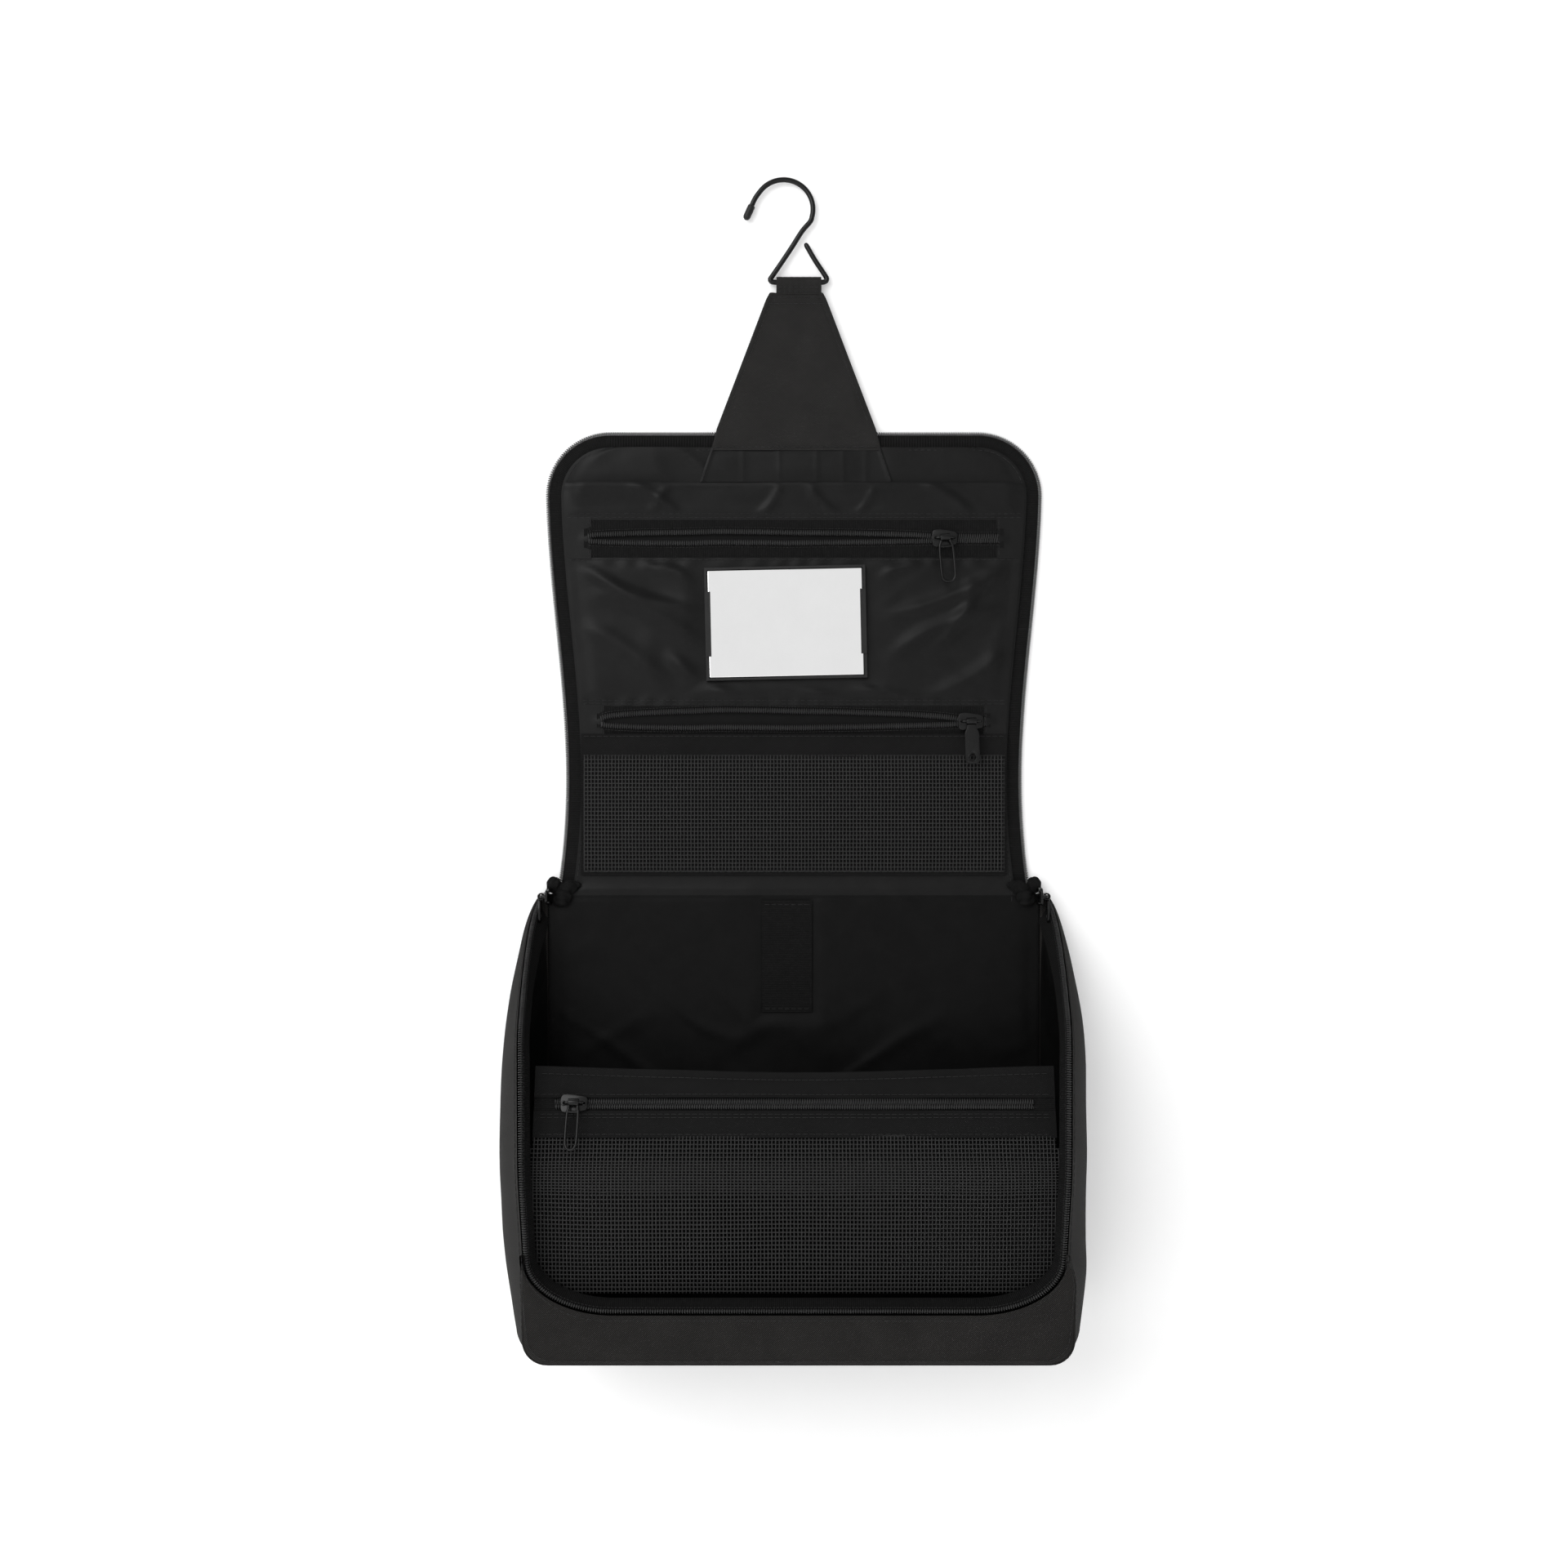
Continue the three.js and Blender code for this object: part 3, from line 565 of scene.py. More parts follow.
# ---- sewn details -----------------------------------------------------------------
def stitches(path, up, length=2.3, spacing=3.0, radius=0.2, lift=0.16):
    """A row of short stitches along a path, each one dipping into the cloth at its ends."""
    line = resample(path, spacing)
    parts = []
    for here, there in zip(line[:-1], line[1:]):
        step = (there - here) / np.linalg.norm(there - here)
        middle = (here + there) / 2
        shares = np.array([-0.5, -0.3, 0, 0.3, 0.5])
        arch = np.array([-0.25, 0.6, 1, 0.6, -0.25]) * lift
        points = middle + step * (shares * length)[:, None] + np.asarray(up, float) * arch[:, None]
        parts.append(tube(points, radius, 5, flat=0.8, up=up))
    return parts


COIL_PITCH = 1.05
COIL_TALL = 0.45
COIL_RADIUS = 0.27     # of the coil's own nylon wire


def coil_turns(path, up, wide, phase=0.0):
    """A zip coil: a flattened helix along a path, stepped so that its crossings stand straight.

    Up may be one direction or one for each point."""
    path = np.asarray(path, float)
    length = travelled(path)
    places = np.linspace(0, length[-1], max(12, int(length[-1] / COIL_PITCH * 9)))
    turns = places / COIL_PITCH + phase
    part = turns - np.floor(turns)
    stepped = np.clip((np.floor(turns) + smooth(part * 2 - 1) - phase) * COIL_PITCH, 0, length[-1])

    def sampled(values, at):
        return np.stack([np.interp(at, length, values[:, i]) for i in range(3)], 1)

    centre = sampled(path, stepped)
    ups = sampled(np.broadcast_to(np.asarray(up, float), path.shape), places)
    tangent = np.gradient(sampled(path, places), axis=0)
    tangent /= np.linalg.norm(tangent, axis=1, keepdims=True)
    side = np.cross(tangent, ups)
    angle = turns * 2 * np.pi
    winding = side * (wide * np.cos(angle))[:, None] + ups * (COIL_TALL * np.sin(angle))[:, None]
    return tube(centre + winding, COIL_RADIUS, 5)


FRONT = (0.0, -1.0, 0.0)       # out of the lid and the wall, towards the room


def bend(obj):
    """Bakes one height of the lid's cloth into place; nothing blends it across the bend."""
    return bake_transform(obj)


def finish_piece(obj, body=None, part=None, nodes=()):
    """Attaches a piece to the body it moves with, or bakes a piece of the lid in place, and hides the CAD
    solids it stands for.
    """
    if part:
        bend(obj)
    else:
        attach(obj, body)
    if nodes:
        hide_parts(*nodes)
    return obj


def tubes_piece(name, parts, material, body=None, part=None, nodes=()):
    """Tubes and plates as one finished piece."""
    finish_piece(tubes_object(name, parts, material), body, part, nodes)


def sheet_piece(name, points, thickness, material, uv, body, nodes=()):
    """A sheet of cloth as a finished piece."""
    finish_piece(sheet_mesh(name, points, thickness, material, uv), body, nodes=nodes)


def sew(name, lines, body=None, part=None):
    """Rows of stitches as one piece."""
    tubes_piece(name, lines, THREAD, body, part)


def lid_sheets(name, rows, half, height, thickness, material, parts, nodes, hem=0.0):
    """Cloth over the lid, made whole so that its shading runs on, then cut at the splits.

    rows are the heights t, half(t) the half width, height(x, t) the distance out."""
    x, t = grid(np.linspace(-1, 1, 121), rows)
    x = x * half(t)
    n = height(x, t) + hem * ridge(half(t) - np.abs(x), 1.0, 1.3)
    points = lid_point(x, t, n)
    normals = grid_normals(points)
    uv = np.stack([x, t], -1)
    for part, low, high in parts:
        keep = (rows >= low - 1e-6) & (rows <= high + 1e-6)
        obj = sheet_mesh(f"{name}_{part}", points[keep], thickness, material, uv[keep], normals[keep])
        finish_piece(obj, part=part, nodes=nodes.get(part, ()))


def lid_sheet(name, x, t, n, thickness, material, body, nodes=()):
    """A sheet over a grid of x and t that rides on one body."""
    sheet_piece(name, lid_point(x, t, n), thickness, material, np.stack([x, t], -1), body, nodes)


def flat_sheet(name, xs, ts, height, thickness, material, body, nodes=()):
    """The same over a plain rectangle, at a height(x, t) or an even one."""
    x, t = grid(xs, ts)
    n = height(x, t) if callable(height) else height
    lid_sheet(name, x, t, n, thickness, material, body, nodes)


def seam_across(reach, t_row, height):
    """Stitches straight across the lid, at a height(x, t) or an even one."""
    x = np.linspace(-reach, reach, 120)
    n = height(x, np.full_like(x, t_row)) if callable(height) else height
    return stitches(lid_point(x, t_row, n), FRONT, radius=0.15)


def heights(low, high, step, *exact):
    """Evenly spaced heights that also take in the exact ones."""
    count = int(round((high - low) / step)) + 1
    return np.unique(np.round(np.concatenate([np.linspace(low, high, count), exact]), 4))


# ---- hook ----------------------------------------------------------------------------
WIRE = 1.2
CROWN = 13.7
BAR_Z = -46.4


def make_hook():
    centre_x, centre_z = -0.2, WIRE - CROWN
    turn = np.radians(np.arange(145, -26, -10))
    crown = [(centre_x + CROWN * math.cos(a), centre_z + CROWN * math.sin(a)) for a in turn]
    leg = [(8.4, -22.8), (3.6, -30.3), (-1.2, -37.5), (-5.4, -43.6), (-6.4, BAR_Z + 1.2), (-5.2, BAR_Z)]
    bar = [(0, BAR_Z), (6.6, BAR_Z), (13.2, BAR_Z), (18.6, BAR_Z), (19.9, BAR_Z + 1.3)]
    end = [(18.9, BAR_Z + 3.4), (14.4, -36.2), (9.9, -28.4)]
    flat = [(-16.2, -13.6), (-13.6, -7.8)] + crown + leg + bar + end
    path = spline([(x, 0, z) for x, z in flat], 0.6)
    radius = np.full(len(path), WIRE)
    radius[-3:] = WIRE * np.array([0.97, 0.85, 0.55])
    tubes_piece("hook_wire_bent", [tube(path, radius, 20)], STEEL, "hook",
                nodes=["hook_wire"])

    run = np.array([-2.6, 0, -5.8]) / math.hypot(2.6, 5.8)
    places = np.array([0, 0.15, 0.5, 1.0, 5.6, 6.3, 6.9, 7.3, 7.5])
    radii = np.array([1.3, 1.5, 1.68, 1.75, 1.72, 1.6, 1.25, 0.7, 0.15])
    cap_path = np.array([-14.9, 0, -10.7]) + places[:, None] * run
    tubes_piece("hook_tip_cap", [tube(cap_path, radii, 20)], PLASTIC, "hook",
                nodes=["hook_tip"])


# ---- strap ---------------------------------------------------------------------------
STRAP_X = 1.1
STRAP_TOP = 276.2              # heights of the strap's cloth above the waist
STRAP_FOOT = 203.0
FOLD_T = 213.0


def strap_half(t):
    slope = np.interp(t, [STRAP_FOOT, FOLD_T, STRAP_TOP], [39.6, 37.0, 12.9])
    return slope - 0.5 * ridge(t, STRAP_TOP, 2.0)


def make_strap_cloth():
    """The tapered strap: hemmed at its sides, with a groove along each hem's stitches."""
    x, t = grid(np.linspace(-1, 1, 49), heights(STRAP_FOOT, STRAP_TOP, 1.2, FOLD_T))
    half = strap_half(t)
    x = x * half
    edge = half - np.abs(x)
    n = 1.7 + 0.35 * value_noise(x / 16, t / 20, 41) + 0.3 * ridge(edge, 1.2, 1.0)
    n = n - 0.35 * ridge(edge, 2.6, 0.5) - 0.5 * smooth(1 - edge / 0.8)
    n = n + 0.35 * ridge(t, STRAP_TOP - 1.5, 1.2)
    points = lid_point(STRAP_X + x, t, n)
    strap = sheet_mesh("strap_cloth", points, 1.2, STRAP, np.stack([x, t], -1))
    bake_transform(strap)
    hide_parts("strap_web", "strap_patch")


def make_strap_stitches():
    def row(t_row, inset, lift):
        half_row = float(strap_half(t_row)) - inset
        return lid_point(STRAP_X + np.linspace(-half_row, half_row, 40), t_row, lift)

    sew("strap_foot_stitches", stitches(row(STRAP_FOOT + 1.6, 1.5, 1.85), FRONT), "lid_top")
    sides = []
    for sign in (-1, 1):
        t_side = np.linspace(FOLD_T + 4, STRAP_TOP - 2, 40)
        x_side = STRAP_X + sign * (strap_half(t_side) - 2.6)
        sides += stitches(lid_point(x_side, t_side, 1.45), FRONT, length=1.9, spacing=2.6, radius=0.14)
    top_row = stitches(row(STRAP_TOP - 2.2, 1.2, 2.0), FRONT)
    lower_row = stitches(row(STRAP_TOP - 5, 1.4, 1.8), FRONT)
    sew("strap_stitches", sides + top_row + lower_row, "strap")


def make_strap_loop():
    """The webbing loop: from its front tail, up over the hook's bar and down behind it."""
    loop_x, loop_t = STRAP_X + 1.2, -WAIST_Z + BAR_Z
    across = np.linspace(-10.4, 10.4, 33)
    profile = [(2.25, -6.2), (2.3, -4.6), (2.34, -2.6)]
    profile += [(2.35 * math.cos(a), 2.35 * math.sin(a)) for a in np.radians(np.linspace(0, 180, 22))]
    profile += [(-2.2, -1.4), (-0.6, -2.6), (0.55, -4.2), (0.75, -6.0)]
    outline = resample(profile, 0.5)
    n = outline[:, 0][:, None] + 0.08 * np.sin(across * 7.4)[None]
    x, t = grid(loop_x + across, loop_t + outline[:, 1])
    along = grid(across, np.arange(len(outline)) * 0.5)[1]
    sheet_piece("strap_loop_webbing", lid_point(x, t, n), 0.8, STRAP, np.stack([x, along], -1),
                "strap", ["strap_loop"])
    rows_of_thread = []
    for drop in (3.0, 5.0):
        line = lid_point(loop_x + np.linspace(-9.6, 9.6, 30), loop_t - drop, 2.42)
        rows_of_thread += stitches(line, FRONT, length=1.8, spacing=2.4)
    sew("strap_loop_stitches", rows_of_thread, "strap")


# ---- lid -----------------------------------------------------------------------------
PANEL_INSET = 7.4
LOWER = ("lower", -BODY_HEIGHT, SPLIT_LOW)
MIDDLE = ("middle", SPLIT_LOW, SPLIT_TOP)
UPPER = ("upper", SPLIT_TOP, LID_LENGTH)


def back_half(t, inset_lid, inset_body):
    """Half width of the cloth that runs from the lid's top down the body's back."""
    body = BACK_HALF - inset_body
    foot = -BODY_HEIGHT + 1.6 + inset_body
    drop = np.clip(foot + BODY_CORNER - t, 0, BODY_CORNER)
    body = body - BODY_CORNER + np.sqrt(np.maximum(BODY_CORNER**2 - drop**2, 0))
    lid = panel_half(np.maximum(t, 0), inset_lid)
    share = smooth((2 - t) / 7)
    return lid * (1 - share) + body * share


def pleats(x):
    """Small vertical tucks in the lining under the strap's foot."""
    total = 0
    for place, width in ((-23.6, 1.2), (-6.8, 1.0), (10.6, 1.3), (22.8, 1.1), (33.4, 1.3)):
        total = total + 0.13 * ridge(x, place, width)
    return total


def lining_half(t):
    return back_half(t, PANEL_INSET, 0.2)


def canvas_half(t):
    return back_half(t, PANEL_INSET, -1.4)


def base_height(x, t):
    """The lining: loose above the strap's foot and below the waist, flat behind the elastic."""
    edge = smooth((lining_half(t) - np.abs(x)) / 9)
    beside_strap = 0.7 * smooth((t - 187) / 6) * smooth((np.abs(x) - 34) / 12)
    loose = 0.12 + beside_strap + 0.5 * smooth((4 - t) / 10)
    beside_elastic = smooth((np.maximum(np.abs(x + 3.2) - 12, np.abs(t + 32) - 27) + 2) / 8)
    waves = wrinkles(x, t, 11, 1.0) * edge * loose * beside_elastic
    seam = -0.5 * ridge(t, -3.4, 1.0) + 0.5 * ridge(t, -1.2, 1.4)
    return 0.3 + waves + seam


def outer_height(x, t):
    edge = smooth((canvas_half(t) - np.abs(x)) / 6)
    return -0.95 - 0.45 * edge * (0.5 + 0.5 * value_noise(x / 30, t / 26, 31))


def stands_for(cloth):
    """The CAD solids that each piece of the lid's lining or canvas stands for."""
    return {"lower": [f"lid_low_{cloth}", f"back_{cloth}"], "middle": [f"lid_mid_{cloth}"],
            "upper": [f"lid_top_{cloth}"]}


def make_lid_cloth():
    """The lining and the canvas, each running from the lid's top down the body's back."""
    parts = (LOWER, MIDDLE, UPPER)
    turns = np.radians(np.linspace(5, 90, 14))
    rows = np.unique(np.round(np.concatenate([
        heights(-BODY_HEIGHT + 0.9, LID_LENGTH - PANEL_INSET, 2.0, 0, SPLIT_LOW, SPLIT_TOP),
        LID_LENGTH - LID_CORNER + (LID_CORNER - PANEL_INSET) * np.sin(turns),
    ]), 3))
    lid_sheets("base_lining", rows, lining_half, base_height, 0.6, LINING, parts,
               stands_for("lining"), hem=0.35)
    # Below the waist seam the lining takes the darker copy: painted shade of the body's inside.
    inner = bpy.data.objects["base_lining_lower"].data
    inner.materials.append(SHADED_LINING)
    for face in inner.polygons:
        if face.center.z < (WAIST_Z - 3.4) * MM:
            face.material_index = 1
    lid_sheets("outer_canvas", rows, canvas_half, outer_height, 0.55, CANVAS, parts,
               stands_for("canvas"))


def make_strap_base():
    """The lining's patch below the strap's foot, tucked and sewn down to the slip pocket."""
    low, high = 188.4, 204.6

    def half(t):
        return np.interp(t, [low, high], [44.9, 39.4])

    ts = np.linspace(low, high, 24)
    x, t = grid(np.linspace(-1, 1, 110), ts)
    x = STRAP_X + x * half(t)
    edge = 44.9 - (t - low) * 0.34 - np.abs(x - STRAP_X)
    waves = 0.5 + 0.5 * value_noise(x / 18, t / 14, 55)
    n = 1.0 + 0.9 * smooth((t - 187) / 8) * smooth((205 - t) / 5) * waves
    n = n + pleats(x) + 0.3 * ridge(edge, 1.0, 0.8)
    lid_sheet("strap_base_patch", x, t, n, 0.5, LINING, "lid_top")
    lines = []
    for sign in (-1, 1):
        side_x = STRAP_X + sign * (half(ts) - 1.0)
        lines += stitches(lid_point(side_x, ts, 2.0), FRONT, radius=0.14)
    sew("strap_base_stitches", lines, "lid_top")


def lid_edge(inset):
    """The lid's zip edge, from the right end of the waist round the top to the left end."""
    corner_start = LID_LENGTH - LID_CORNER
    t = np.linspace(-7.0, corner_start, 194)
    right = np.stack([lid_half(np.maximum(t, 0)) - inset, t], 1)
    centre = float(lid_half(corner_start)) - LID_CORNER
    turn = np.radians(np.linspace(2, 90, 45))
    radius = LID_CORNER - inset
    arc = np.stack([centre + radius * np.cos(turn), corner_start + radius * np.sin(turn)], 1)
    across = np.linspace(centre, 0, 60)[1:]
    top = np.stack([across, np.full(len(across), LID_LENGTH - inset)], 1)
    half = np.concatenate([right, arc, top])
    return np.concatenate([half, (half * [-1, 1])[-2::-1]])


def edge_parts(path):
    """Cuts a path round the lid into its five runs: (side, part, first, last)."""
    t = path[:, 1]
    low_r, top_r = int(np.argmax(t >= SPLIT_LOW)), int(np.argmax(t >= SPLIT_TOP))
    low_l, top_l = len(t) - 1 - low_r, len(t) - 1 - top_r
    return [
        ("right", "lower", 0, low_r), ("right", "middle", low_r, top_r),
        ("round", "upper", top_r, top_l), ("left", "middle", top_l, low_l),
        ("left", "lower", low_l, len(t) - 1),
    ]


EDGE_NODES = {
    ("right", "lower"): "low_{}_right", ("left", "lower"): "low_{}_left",
    ("right", "middle"): "mid_{}_right", ("left", "middle"): "mid_{}_left",
    ("round", "upper"): "top_{}",
}


def make_lid_edge():
    """The lid's zip tape, coil and hem stitches, cut where its lengths bend."""
    insets = np.array([11.2, 9.2, 7.0, 4.5, 2.2, 1.5])
    lifts = np.array([-0.95, -0.75, -0.65, -0.7, -0.75, -0.85])
    paths = [lid_edge(inset) for inset in insets]
    coil_line = lid_edge(1.0)
    for side, part, first, last in edge_parts(paths[0]):
        cut = slice(first, last + 1)
        flat = np.stack([path[cut] for path in paths], 1)
        points = lid_point(flat[..., 0], flat[..., 1], lifts[None])
        uv = np.stack(grid(insets, np.arange(len(flat))), -1)
        name = EDGE_NODES[(side, part)]
        tape = sheet_mesh(f"lid_tape_{side}_{part}", points, 0.5, TAPE, uv)
        finish_piece(tape, part=part, nodes=["lid_" + name.format("tape")])
        line = coil_line[cut]
        # The lid's coil uses the lighter copy: painted highlight on its teeth.
        turns = coil_turns(lid_point(line[:, 0], line[:, 1], -0.9), FRONT, wide=0.75)
        tubes_piece(f"lid_coil_{side}_{part}", [turns], COIL_LID_PAINTED_HIGHLIGHT, part=part,
                    nodes=["lid_" + name.format("coil")])
        seam = lid_edge(PANEL_INSET + 1.3)[cut]
        thread = stitches(lid_point(seam[:, 0], seam[:, 1], 0.62), FRONT, radius=0.15, length=2.1)
        sew(f"lid_hem_stitches_{side}_{part}", thread, part=part)


# ---- lid pockets ---------------------------------------------------------------------
def pocket_half(t):
    """Half width of the lid's sewn-on panels, which run into its hem."""
    return panel_half(t, PANEL_INSET + 1.0)


def sewn_edge(distance, width):
    """0 on a seam and 1 once the cloth is free of it."""
    return smooth(distance / width)


def make_slip_pocket():
    """The open pocket across the lid's top: sewn at its foot and sides, gaping at its hem."""
    x, t = grid(np.linspace(-1, 1, 150), np.linspace(170.8, 188, 18))
    x = x * pocket_half(t)
    side = sewn_edge(pocket_half(t) - np.abs(x), 9)
    foot = sewn_edge(t - 171.4, 5)
    gape = smooth((t - 176) / 10) * side * (1.2 + 0.8 * np.sin(x / 21 + 0.6))
    loose = wrinkles(x, t, 61, 0.4) + creases(x, t, POCKET_CREASES)
    n = 1.15 + foot * side * loose + gape + 0.4 * ridge(t, 186.6, 0.9)
    lid_sheet("slip_pocket_cloth", x, t, n, 0.55, LINING, "lid_top", ["slip_pocket"])
    lines = []
    for t_row in (171.9, 173.6):
        lines += seam_across(float(pocket_half(t_row)) - 1, t_row, 1.32)
    sew("slip_pocket_stitches", lines, "lid_top")


# Each zip: body, chain height, slider x, ends of its slot, window, and how far each coil gapes.
ZIPS = {
    "zip_one": {"body": "lid_top", "chain": 162.0, "slider": 69.9, "ends": (-96.0, 96.0),
                "window": (154.2, 170.9), "outer": (152.6, 171.9), "gape": (2.0, 1.2)},
    "zip_two": {"body": "lid_low", "chain": 77.0, "slider": 82.0, "ends": (-90.0, 90.0),
                "window": (71.6, 83.9), "outer": (70.6, 85.2), "gape": (4.2, 2.0)},
}


def zip_lines(zip_spec, xs):
    """The upper and lower coil's t and n where the zip gapes left of its slider."""
    left, slider = zip_spec["ends"][0], zip_spec["slider"]
    share = np.clip((xs - left) / (slider - 5 - left), 0, 1)
    open_shape = np.sin(np.pi * share**0.75) ** 0.55
    up, down = zip_spec["gape"]
    chain = zip_spec["chain"]
    sway = 0.25 * value_noise(xs / 17, xs * 0, 71)
    upper = chain + 1.0 + (up + sway) * open_shape
    lower = chain - 1.0 - (down - sway) * open_shape
    lift = 2.05 + 0.5 * open_shape
    return upper, lower, lift


def make_chain(name, zip_spec):
    """Each half of the zip: its tape, its coil and the sewing that holds the coil down."""
    body = zip_spec["body"]
    left, right = zip_spec["ends"]
    low, high = zip_spec["outer"]
    xs = np.linspace(left - 1.5, right + 1.5, 181)
    inside = (xs >= left + 0.5) & (xs <= right - 0.5)
    upper, lower, lift = zip_lines(zip_spec, xs)
    coil_lift = lift[inside]
    for side, sign, line in (("upper", 1, upper), ("lower", -1, lower)):
        is_upper = sign > 0
        t = np.linspace(line, high, 9) if is_upper else np.linspace(low, line, 9)
        near_chain = np.linspace(is_upper, not is_upper, 9)[:, None]
        n = 0.95 + (lift - 1.0)[None] * smooth(near_chain) * 0.85
        x = np.repeat(xs[None], len(t), 0)
        sheet_piece(f"{name}_tape_{side}", lid_point(x, t, n), 0.4, TAPE, np.stack([t, x], -1),
                    body, [f"{name}_tape"] if is_upper else ())
        coil_line = lid_point(xs[inside], line[inside] - sign * 0.1, coil_lift + 0.1)
        turns = coil_turns(coil_line, FRONT, wide=1.15, phase=0.0 if is_upper else 0.5)
        tubes_piece(f"{name}_coil_{side}_turns", [turns], COIL, body,
                    nodes=[f"{name}_coil_{side}"])
        seam = lid_point(xs[inside], line[inside] + sign * 1.9, coil_lift - 0.25)
        sewing = stitches(seam, FRONT, length=1.0, spacing=1.5, radius=0.14, lift=0.1)
        sew(f"{name}_coil_{side}_sewing", sewing, body)


def make_zip_surround(name, zip_spec):
    """The lining panels past each end of the zip, and what shows through its gap."""
    body = zip_spec["body"]
    left, right = zip_spec["ends"]
    low, high = zip_spec["window"]

    def height(x, t):
        return 1.5 + 0.5 * ridge(t, zip_spec["chain"], 2.4) * smooth(1 - (np.abs(x) - right) / 5)

    inner_x = right - 1.8
    for label, sign in (("left", -1), ("right", 1)):
        share, t = grid(np.linspace(0, 1, 12)[::sign], np.linspace(low - 1.6, high + 1.0, 15))
        x = sign * (inner_x + (pocket_half(t) - inner_x) * share)
        lid_sheet(f"{name}_end_{label}", x, t, height(x, t), 0.45, LINING, body)
        tack_t = np.linspace(low, high, 20)
        tack = lid_point(sign * (right - 0.8), tack_t, height(right - 0.8, tack_t) + 0.1)
        sew(f"{name}_end_{label}_stitches", stitches(tack, FRONT, radius=0.15), body)
    xs, ts = np.linspace(left, right, 40), np.linspace(low, high, 8)
    # The lining seen through the zip's gap is the darker copy: painted shade inside the pocket.
    flat_sheet(f"{name}_pocket_inside", xs, ts, 0.72, 0.2, SHADED_LINING, body)


# Folds seen in the panels, as (start, end, bow, width, height) in x and t.
PANEL_CREASES = (
    ((-100, 150), (-41, 128), -4, 3.0, 1.5), ((-96, 139), (-40, 112), 3, 3.6, 1.3),
    ((-101, 124), (-56, 88), 4, 4.2, 1.2), ((-72, 152), (-44, 140), 2, 2.6, 1.0),
    ((-62, 112), (-20, 86), -3, 3.4, 1.3), ((-18, 96), (22, 85), 2, 2.4, 0.9),
    ((101, 151), (36, 126), 5, 3.4, 1.5), ((99, 132), (40, 104), -4, 3.8, 1.4),
    ((101, 112), (58, 87), 3, 4.0, 1.2), ((64, 152), (38, 143), -2, 2.6, 1.0),
    ((24, 96), (74, 86), -2, 2.6, 1.0), ((84, 146), (60, 108), 6, 3.0, 1.1),
)
POCKET_CREASES = (
    ((-78, 188), (-52, 172), 2, 2.4, 1.1), ((-58, 187), (-66, 173), -1, 2.0, 0.8),
    ((-6, 188), (-18, 172), 2, 2.0, 1.1), ((6, 188), (22, 173), -2, 2.2, 1.0),
    ((38, 187), (28, 172), 1, 1.8, 0.8), ((58, 188), (84, 172), 2, 2.6, 1.1),
)


def panel_height(x, t):
    """The wide panel between the two zips, drawn into folds by its seams and the mirror."""
    side = sewn_edge(pocket_half(t) - np.abs(x), 10)
    ends = sewn_edge(t - 84.4, 7) * sewn_edge(153.0 - t, 6)
    across, up = np.abs(x + 3.8) / 37.4, np.abs(t - 122.8) / 26.2
    off_mirror = smooth((np.maximum(across, up) - 1.0) / 0.3)
    puckers = 0.25 * np.sin(x / 1.9 + 2 * np.sin(x / 11))
    near_seams = ridge(t, 86.5, 2.2) + ridge(t, 151, 2.2)
    loose = wrinkles(x, t, 91, 0.5) + creases(x, t, PANEL_CREASES)
    return 1.25 + side * ends * (0.2 + off_mirror) * loose + puckers * near_seams * side


def make_mirror_panel():
    rows = heights(84.2, 153.2, 1.5, SPLIT_TOP)
    parts = (("middle", 84, SPLIT_TOP), ("upper", SPLIT_TOP, 154))
    lid_sheets("mirror_panel", rows, pocket_half, panel_height, 0.55, LINING, parts, {},
               hem=0.3)
    for part, t_row in (("upper", 152.2), ("middle", 85.2), ("middle", 86.9)):
        reach = float(pocket_half(t_row)) - 1
        seam = seam_across(reach, t_row, lambda x, t: panel_height(x, t) + 0.1)
        sew(f"mirror_panel_stitches_{int(t_row)}", seam, part=part)


# ---- nets ------------------------------------------------------------------------------
NET_ACROSS = 1.6       # the size of one mesh of the net
NET_ALONG = 1.85
NET_RADIUS = 0.27


def net_threads(low_x, high_x, low_t, high_t, height, point, wings=0.0):
    """Open leno net as real threads: pairs that run up, locked round single cross threads.

    Wings is how far the net reaches past low_x and high_x, away from its low_t edge."""
    parts = []
    columns = np.arange(low_x - wings, high_x + wings + 0.01, NET_ACROSS)
    rows = np.arange(low_t, high_t + 0.01, NET_ALONG)
    for i, x in enumerate(columns):
        first_t = low_t if low_x <= x <= high_x else low_t + 3 * NET_ALONG
        long_t = np.linspace(first_t, high_t, int((high_t - first_t) / NET_ALONG * 2) + 1)
        sway = 0.07 * np.sin(long_t * np.pi / NET_ALONG + i)
        lift = height(np.full_like(long_t, x), long_t) + 0.12
        parts.append(tube(point(x + sway, long_t, lift), NET_RADIUS * 1.05, 5, flat=0.6))
    for j, t in enumerate(rows):
        reach = wings if j >= 3 else 0.0
        wide_x = np.arange(low_x - reach, high_x + reach + NET_ACROSS / 2, NET_ACROSS)
        wander = 0.05 * np.sin(wide_x * 1.3 + j * 2.1)
        lift = height(wide_x, np.full_like(wide_x, t)) - 0.05
        parts.append(tube(point(wide_x, t + wander, lift), NET_RADIUS, 5, flat=0.6))
    return parts


